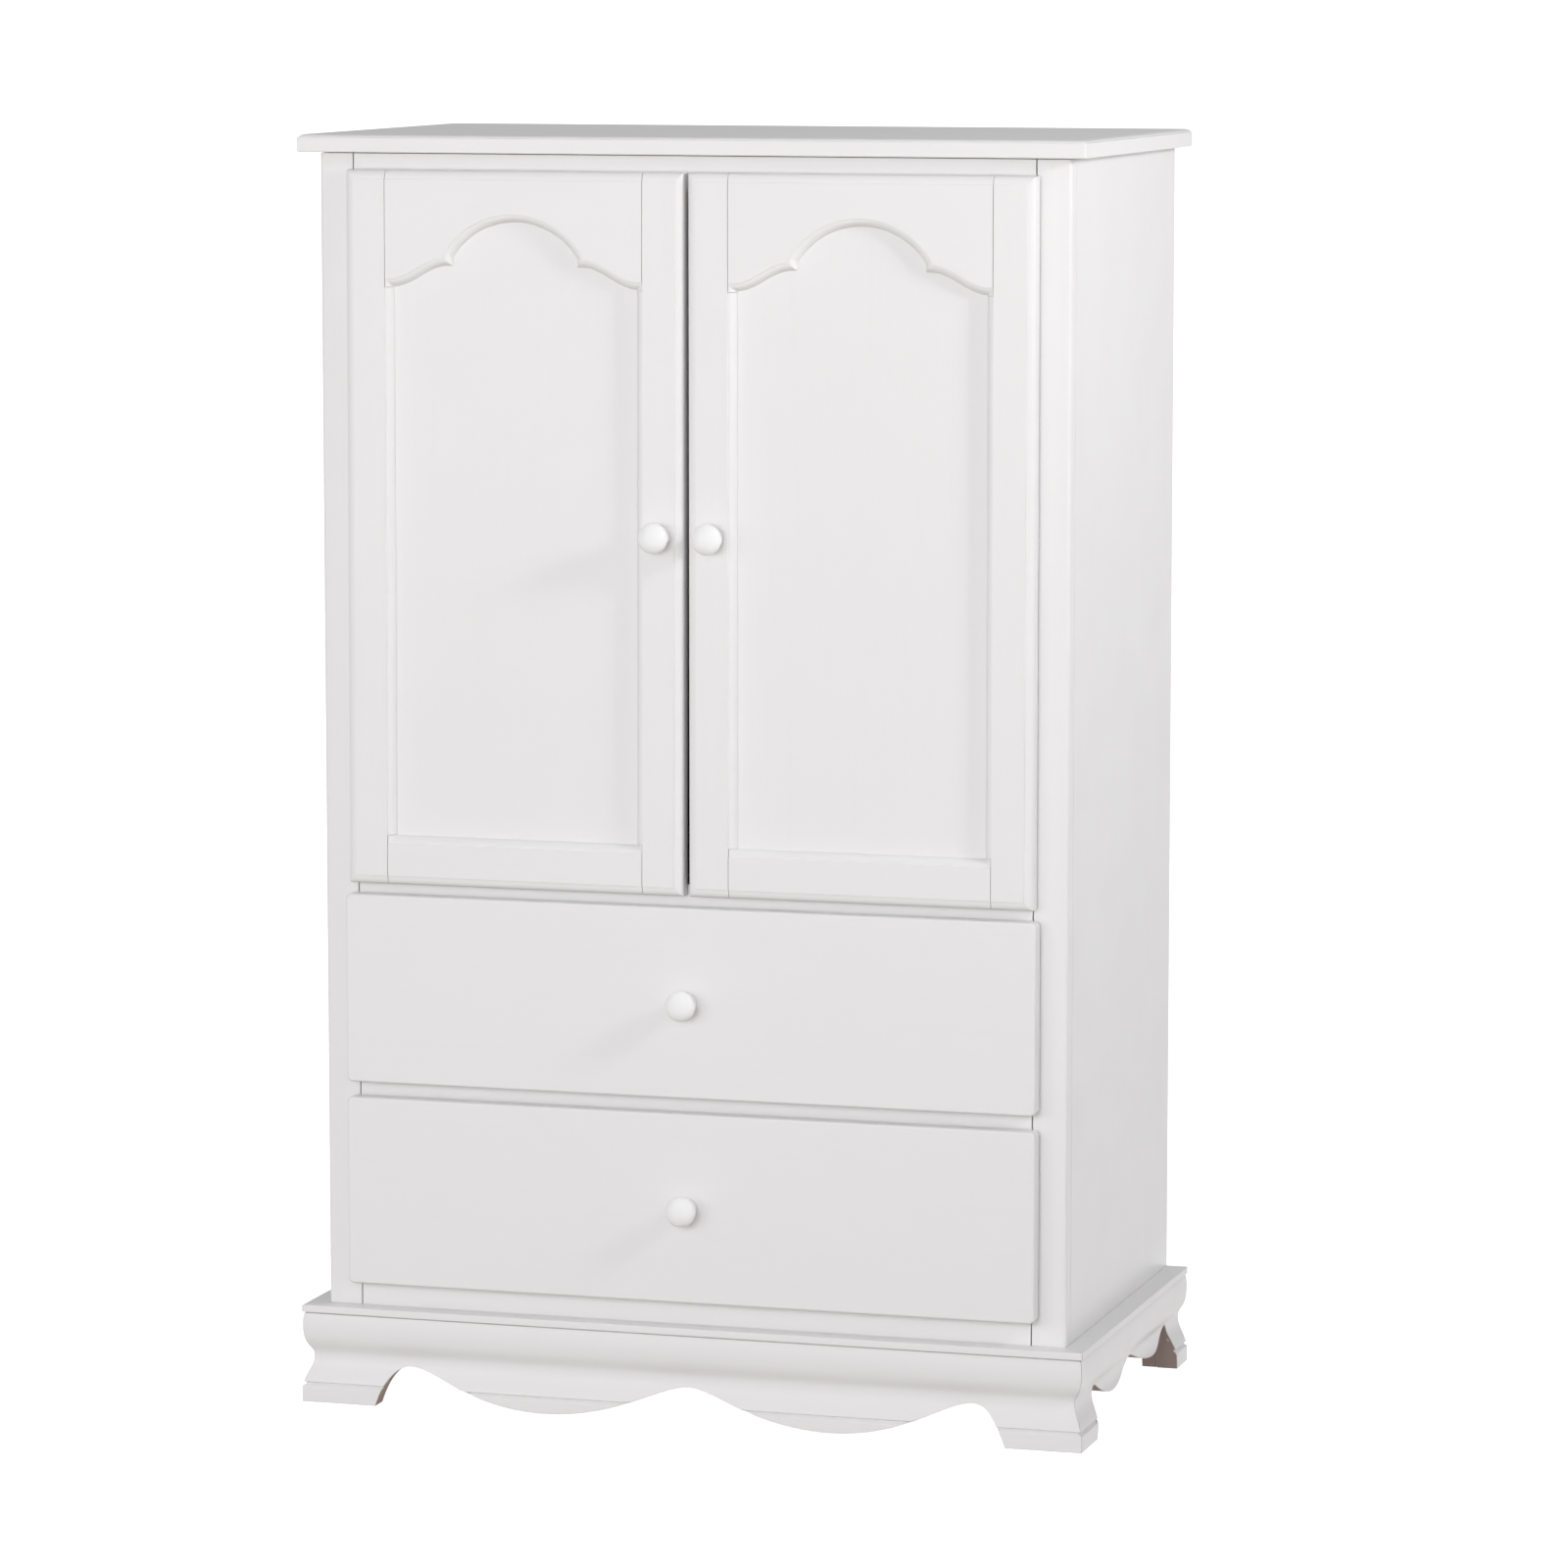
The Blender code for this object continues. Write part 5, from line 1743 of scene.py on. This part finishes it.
@dataclass
class Drawer:
    """A drawer with its overlay front, box, knob and the runner underneath."""

    body: str
    knobs: TurnedKnob
    front_round: float = 0.003
    corner: float = 0.003
    groove: float = 0.006
    screw_inset: Point2 = (0.045, 0.055)
    screw_radius: float = 0.0034
    screw_seed: int = 40

    def front(self) -> None:
        """Build the overlay front with its rounded edges and corners."""
        node = f"{self.body}_front"
        low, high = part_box(node)
        profile: Outline = [(0.0007, high.y), (0.0002, high.y - 0.0002), (0.0, high.y - 0.0007)]
        begin = (0.0, low.y + self.front_round)
        profile.append(begin)
        profile += curve(begin, (0.0, low.y + self.front_round * 0.45), (self.front_round * 0.45, low.y),
                         (self.front_round, low.y), 8)
        rings = []
        for inwards, y in profile:
            radius = self.corner + self.front_round - inwards
            left, right = low.x + inwards + radius, high.x - inwards - radius
            bottom, top = low.z + inwards + radius, high.z - inwards - radius
            flat: Outline = []
            for x, z, turn in ((right, top, 0.0), (left, top, 0.5),
                               (left, bottom, 1.0), (right, bottom, 1.5)):
                flat += arc((x, z), radius, math.pi * turn, math.pi * (turn + 0.5), 8)
            rings.append(placed(flat, y, Axis.Y))
        finished(node, self.body, WHITE[Axis.X]).make(loft(rings))

    def box_side(self, word: str, side: int) -> None:
        """Build a side with the groove that holds the floor.

        Args:
            word: left or right.
            side: -1 or 1.
        """
        node = f"{self.body}_{word}_side"
        low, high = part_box(node)
        floor_low, floor_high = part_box(f"{self.body}_floor")
        inner, outer = sorted((abs(low.x), abs(high.x)))
        notch_low, notch_high, bite = floor_low.z - GAP, floor_high.z + GAP, inner + self.groove
        outline = [(inner, low.z + 0.0006), (inner + 0.0006, low.z), (outer - 0.0006, low.z),
                   (outer, low.z + 0.0006), (outer, high.z - 0.002), (outer - 0.002, high.z),
                   (inner + 0.002, high.z), (inner, high.z - 0.002), (inner, notch_high), (bite, notch_high),
                   (bite, notch_low), (inner, notch_low)]
        outline = [(side * x, z) for x, z in outline]
        solid = slab(outline, low.y, high.y, Axis.Y, 0.0004, 2)
        finished(node, self.body, DRAWER[Axis.Y]).make(solid)

    def build(self, fasteners: Fasteners) -> None:
        """Build the whole drawer.

        Args:
            fasteners: drives its screws.
        """
        self.front()
        for word, side in SIDES:
            self.box_side(word, side)
        board(f"{self.body}_back", self.body, DRAWER[Axis.X])
        board(f"{self.body}_floor", self.body, DRAWER[Axis.X], arris=0.0004, axis=Axis.Z,
              corner=0.0005)
        board(f"{self.body}_runner", self.body, BROWN, arris=0.0006, corner=0.0012)
        place = stand_knob(self.knobs, f"{self.body}_knob", self.body, lambda solid: solid)
        low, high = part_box(f"{self.body}_front")
        inner = abs(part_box(f"{self.body}_right_side")[0].x)
        across, up = self.screw_inset
        points = [(side * (inner - across), high.y, z)
                  for side in (-1, 1) for z in (low.z + up, high.z - up)]
        fasteners.screws(f"{self.body}_screws", self.body,
                         [(points, (0, 1, 0)), ([(place[0], high.y, place[2])], (0, 1, 0))],
                         self.screw_radius, self.screw_seed)


# Hinge arms, rod, catch and glides


@dataclass
class Fittings:
    """The hardware fixed to the case."""

    body: str = "case"
    rod_ease: float = 0.0015
    rod_nip: float = 0.0004
    socket_flange: float = 0.004
    socket_wall: float = 0.003
    socket_screws: float = 0.0205
    plate_span: Point2 = (0.004, 0.019)
    plate_thick: float = 0.0025
    plate_screws: float = 0.0175
    arm_half: float = 0.007
    pole_out: float = 0.014
    pole_step: float = 0.0028
    pole_half: Point2 = (0.0065, 0.0006)
    catch_screws: Point2 = (0.021, 0.008)
    channel_wall: float = 0.002
    cleat_screws: tuple[float, ...] = (0.1, 0.5, 0.9)
    screw_radius: float = 0.0028
    screw_seed: int = 3
    nail_edge: float = 0.009
    nail_spacing: float = 0.115
    nail_radius: float = 0.0026
    nail_height: float = 0.0007
    nail_seed: int = 11

    def rod(self) -> None:
        """Build the hanging rod with its eased ends."""
        node = "clothes_rod"
        low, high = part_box(node)
        radius, length = (high.z - low.z) / 2, high.x - low.x
        ease, nip = self.rod_ease, self.rod_nip
        profile = [(0.0, 0.0), (radius - ease, 0.0), (radius - nip, nip), (radius, ease),
                   (radius, length - ease), (radius - nip, length - nip), (radius - ease, length),
                   (0.0, length)]
        place = (low.x, (low.y + high.y) / 2, (low.z + high.z) / 2)
        solid = turn_to(turned(profile, 72), (1, 0, 0), place)
        finished(node, self.body, DRAWER[Axis.X]).make(solid)

    def rod_socket(self, word: str, side: int) -> list[Point3]:
        """Build a socket for the rod.

        Args:
            word: left or right.
            side: -1 or 1.

        Returns:
            The points where its screws go.
        """
        node = f"{word}_rod_socket"
        low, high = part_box(node)
        radius, depth = (high.z - low.z) / 2, high.x - low.x
        flange, wall = self.socket_flange, self.socket_wall
        rod_low, rod_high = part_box("clothes_rod")
        bore = (rod_high.z - rod_low.z) / 2 + GAP
        profile = [(0.0, 0.0), (radius - 0.0006, 0.0), (radius, 0.0006), (radius, flange - 0.0016)]
        profile += arc((radius - 0.0016, flange - 0.0016), 0.0016, 0.0, math.pi / 2, 5)[1:]
        profile += [(bore + wall + 0.0010, flange), (bore + wall + 0.0003, flange + 0.0003),
                    (bore + wall, flange + 0.0010), (bore + wall, depth - 0.0010)]
        profile += arc((bore + wall - 0.0010, depth - 0.0010), 0.0010, 0.0, math.pi / 2, 4)[1:]
        profile += [(bore + 0.0005, depth), (bore, depth - 0.0005), (bore, flange), (0.0, flange)]
        y, z = (low.y + high.y) / 2, (low.z + high.z) / 2
        outer = side * max(abs(low.x), abs(high.x))
        solid = turn_to(turned(profile, 64), (-side, 0, 0), (outer, y, z))
        finished(node, self.body, STEEL).make(solid, sharp=40.0)
        ring = self.socket_screws
        return [(outer - side * flange, y + ring * math.cos(a), z + ring * math.sin(a))
                for a in map(math.radians, (90, 210, 330))]

    def hinge_arm(self, door: str, side: int, place: str) -> list[Point3]:
        """Build a hinge arm on its plate.

        Args:
            door: the door's name.
            side: -1 or 1.
            place: upper or lower.

        Returns:
            The points where its screws go.
        """
        node = f"{door}_{place}_hinge_arm"
        low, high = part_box(node)
        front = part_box("right_front_post")[0].y
        tip, root = sorted((abs(low.x), abs(high.x)))
        start, end, nose = front + self.plate_span[0], front + self.plate_span[1], low.y
        height = (low.z + high.z) / 2
        thick = self.plate_thick
        inner, outer = sorted((side * (root - thick), side * root))
        flat = soften(rectangle((start, low.z), (end, high.z)), 0.003, 6)
        plate = slab(flat, inner, outer, Axis.X, 0.0004, 3)
        heel = root - thick / 2
        outline = [(heel, start + 0.002), (heel, end - 0.001), (tip + 0.010, end + 0.003),
                   (tip + 0.002, start + 0.010), (tip, nose + 0.004), (tip + 0.003, nose),
                   (root - 0.007, nose), (root - 0.006, start - 0.001)]
        shape = soften([(side * x, y) for x, y in outline], 0.0022, 5)
        arm = slab(shape, height - self.arm_half, height + self.arm_half, Axis.Z, 0.0006, 3)
        solid = carved(plate, [("UNION", arm)])
        finished(node, self.body, STEEL).make(solid)
        return [(side * (root - thick), (start + end) / 2, height + step)
                for step in (-self.plate_screws, self.plate_screws)]

    def catch(self) -> list[Point3]:
        """Build the double magnetic catch with its pole plates.

        Returns:
            The points where its screws go.
        """
        node = "door_catch"
        board(node, self.body, BROWN, arris=0.0012, corner=0.0025)
        low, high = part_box(node)
        joined = bmesh.new()
        wide, tall = self.pole_half
        for side in (-1, 1):
            for step in (-self.pole_step, self.pole_step):
                x, z = side * self.pole_out, (low.z + high.z) / 2 + step
                flat = rectangle((x - wide, z - tall), (x + wide, z + tall))
                absorb(joined, slab(flat, low.y - 0.0001, low.y + 0.004, Axis.Y, 0.00015, 1))
        Piece("door_catch_poles", self.body, STEEL).make(joined)
        across, inwards = self.catch_screws
        return [(side * across, high.y - inwards, low.z) for side in (-1, 1)]

    def glide(self, node: str) -> None:
        """Build a drawer's fixed channel.

        Args:
            node: the frame node that it stands for.
        """
        low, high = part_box(node)
        wall, small = self.channel_wall, 0.0004
        half = high.x
        outline = [
            (small - half, low.z), (half - small, low.z), (half, low.z + small), (half, high.z - small),
            (half - small, high.z), (half - wall + small, high.z), (half - wall, high.z - small),
            (half - wall, low.z + wall), (wall - half, low.z + wall), (wall - half, high.z - small),
            (wall - half - small, high.z), (small - half, high.z), (-half, high.z - small),
            (-half, low.z + small),
        ]
        solid = slab(outline, low.y, high.y, Axis.Y, 0.0002, 2)
        finished(node, self.body, STEEL).make(solid)

    def build(self, fasteners: Fasteners) -> None:
        """Build all the case's hardware and drive its screws and nails.

        Args:
            fasteners: drives them.
        """
        self.rod()
        rows: list[tuple[Any, Any]] = []
        for word, side in SIDES:
            inwards = (-side, 0, 0)
            rows.append((self.rod_socket(word, side), inwards))
            for place in ("upper", "lower"):
                rows.append((self.hinge_arm(f"{word}_door", side, place), inwards))
            low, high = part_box(f"{word}_shelf_cleat")
            face = side * min(abs(low.x), abs(high.x))
            z = (low.z + high.z) / 2
            depths = [low.y + share * (high.y - low.y) for share in self.cleat_screws]
            rows.append(([(face, y, z) for y in depths], inwards))
        rows.append((self.catch(), (0, 0, -1)))
        for node in ("upper_drawer_glide", "lower_drawer_glide"):
            self.glide(node)
        fasteners.screws("case_screws", self.body, rows, self.screw_radius, self.screw_seed)
        self.back_nails(fasteners)

    def back_nails(self, fasteners: Fasteners) -> None:
        """Nail the back on, all round its edge.

        Args:
            fasteners: drives the nails.
        """
        low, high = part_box("back_panel")
        edge = self.nail_edge
        corners = [(low.x + edge, high.y, low.z + edge), (high.x - edge, high.y, low.z + edge),
                   (high.x - edge, high.y, high.z - edge), (low.x + edge, high.y, high.z - edge)]
        grown = fasteners.nails.grow(carrier_of(corners, (0.0, 1.0, 0.0), closed=True), {
            "Spacing": self.nail_spacing, "Radius": self.nail_radius, "Height": self.nail_height,
            "Seed": self.nail_seed, "Material": STEEL.material()})
        Piece("back_nails", self.body, STEEL).make(grown, sharp=28.0)


# Floor, light and camera


@dataclass(frozen=True)
class Softbox:
    """A round soft light: where it hangs, the point it faces, its width, watts and fan."""

    name: str
    place: Point3
    aim: Point3
    size: float
    power: float
    spread: float = 180.0
    mirrored: bool = True

    def hang(self) -> None:
        """Hang the light."""
        data = bpy.data.lights.new(self.name, "AREA")
        data.shape, data.size, data.energy = "DISK", self.size, self.power
        data.spread = math.radians(self.spread)
        light = bpy.data.objects.new(self.name, data)
        light.location = self.place
        light.visible_glossy = self.mirrored
        light.rotation_euler = (Vector(self.aim) - Vector(self.place)).to_track_quat("-Z", "Y").to_euler()
        bpy.context.scene.collection.objects.link(light)


@dataclass
class Studio:
    """A pale floor, soft light from the front and the right, and the camera."""

    floor_reach: float = 260.0
    floor_tone: float = 0.80
    floor_glow: float = 0.94
    camera_place: Point3 = (2.173, -7.075, 1.631)
    camera_turn: Point3 = (82.8, 0.0, 16.75)
    lens: float = 150.3
    lights: tuple[Softbox, ...] = (
        Softbox("key", (0.3, -4.8, 1.45), (0.0, 0.0, 0.9), 1.8, 71.0, mirrored=False),
        Softbox("side", (2.5, -0.85, 1.95), (0.4, 0.0, 1.55), 0.5, 8.8, spread=100.0),
        Softbox("fill", (-2.6, -5.0, 1.5), (0.0, 0.0, 0.9), 2.4, 36.0),
    )

    def floor(self) -> None:
        """Lay the floor."""
        reach = self.floor_reach
        bm = bmesh.new()
        bm.faces.new([bm.verts.new((x, y, -0.0002)) for x, y in
                      ((-reach, -reach), (reach, -reach), (reach, reach), (-reach, reach))])
        laid = object_of("studio_floor", bm)
        material = bpy.data.materials.new("pale_floor")
        material.use_nodes = True
        wiring = Wiring(material.node_tree)
        shader = material.node_tree.nodes["Principled BSDF"]
        where = wiring.add("ShaderNodeTexCoord").outputs["Object"]
        mottle = wiring.spread(wiring.noise(where, 1.7, 2.0), (0.3, 0.7),
                               (self.floor_tone - 0.006, self.floor_tone))
        tone = wiring.add("ShaderNodeCombineColor", {0: mottle, 1: mottle, 2: mottle}).outputs[0]
        wiring.feed(shader, {
            "Base Color": tone, "Roughness": 0.9, "Specular IOR Level": 0.1,
            "Emission Color": (1.0, 1.0, 1.0, 1.0), "Emission Strength": self.floor_glow,
        })
        laid.data.materials.append(material)
        laid.visible_diffuse = False

    def sky(self, horizon: float = 0.63, zenith: float = 0.40, below: float = 0.30) -> None:
        """Light the room evenly, paler round the sides than overhead or below.

        Args:
            horizon: brightness at the sides.
            zenith: brightness overhead.
            below: brightness of the light that comes back from the floor.
        """
        world = bpy.data.worlds.new("studio")
        world.use_nodes = True
        bpy.context.scene.world = world
        wiring = Wiring(world.node_tree)
        where = wiring.add("ShaderNodeTexCoord").outputs["Generated"]
        height = wiring.add("ShaderNodeSeparateXYZ", {0: where}).outputs["Z"]
        over = wiring.spread(height, (0.05, 0.85), (horizon, zenith))
        under = wiring.spread(height, (-0.25, 0.02), (below, horizon))
        level = wiring.math("MINIMUM", over, under)
        background = world.node_tree.nodes["Background"]
        warm = wiring.spread(height, (-0.30, 0.10), (1.0, 0.0))
        tint = wiring.blend(warm, (0.992, 0.988, 1.0), (1.0, 0.92, 0.885))
        wiring.feed(background, {"Color": tint, "Strength": level})

    def camera(self) -> None:
        """Stand the camera."""
        data = bpy.data.cameras.new("camera")
        data.lens, data.sensor_width = self.lens, 36.0
        data.clip_start, data.clip_end = 0.05, 1000.0
        camera = bpy.data.objects.new("camera", data)
        camera.location = self.camera_place
        camera.rotation_euler = tuple(math.radians(turn) for turn in self.camera_turn)
        bpy.context.scene.collection.objects.link(camera)
        bpy.context.scene.camera = camera

    def build(self) -> None:
        """Set up the floor, the light and the camera."""
        bpy.context.scene.view_settings.view_transform = "Standard"
        self.camera()
        self.floor()
        self.sky()
        for light in self.lights:
            light.hang()


def main() -> None:
    """Build the armoire round its frame, then its studio."""
    logging.basicConfig(level=logging.INFO, format="%(name)s: %(message)s", stream=sys.stdout)
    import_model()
    fasteners, knobs = Fasteners(), TurnedKnob(knob_profile())
    Case().build()
    Base().build()
    Door("left", -1, knobs, askew=0.002, nudge=0.0009).build(fasteners)
    Door("right", 1, knobs).build(fasteners)
    Drawer("upper_drawer", knobs).build(fasteners)
    Drawer("lower_drawer", knobs).build(fasteners)
    Fittings().build(fasteners)
    Studio().build()


if __name__ == "__main__":
    main()
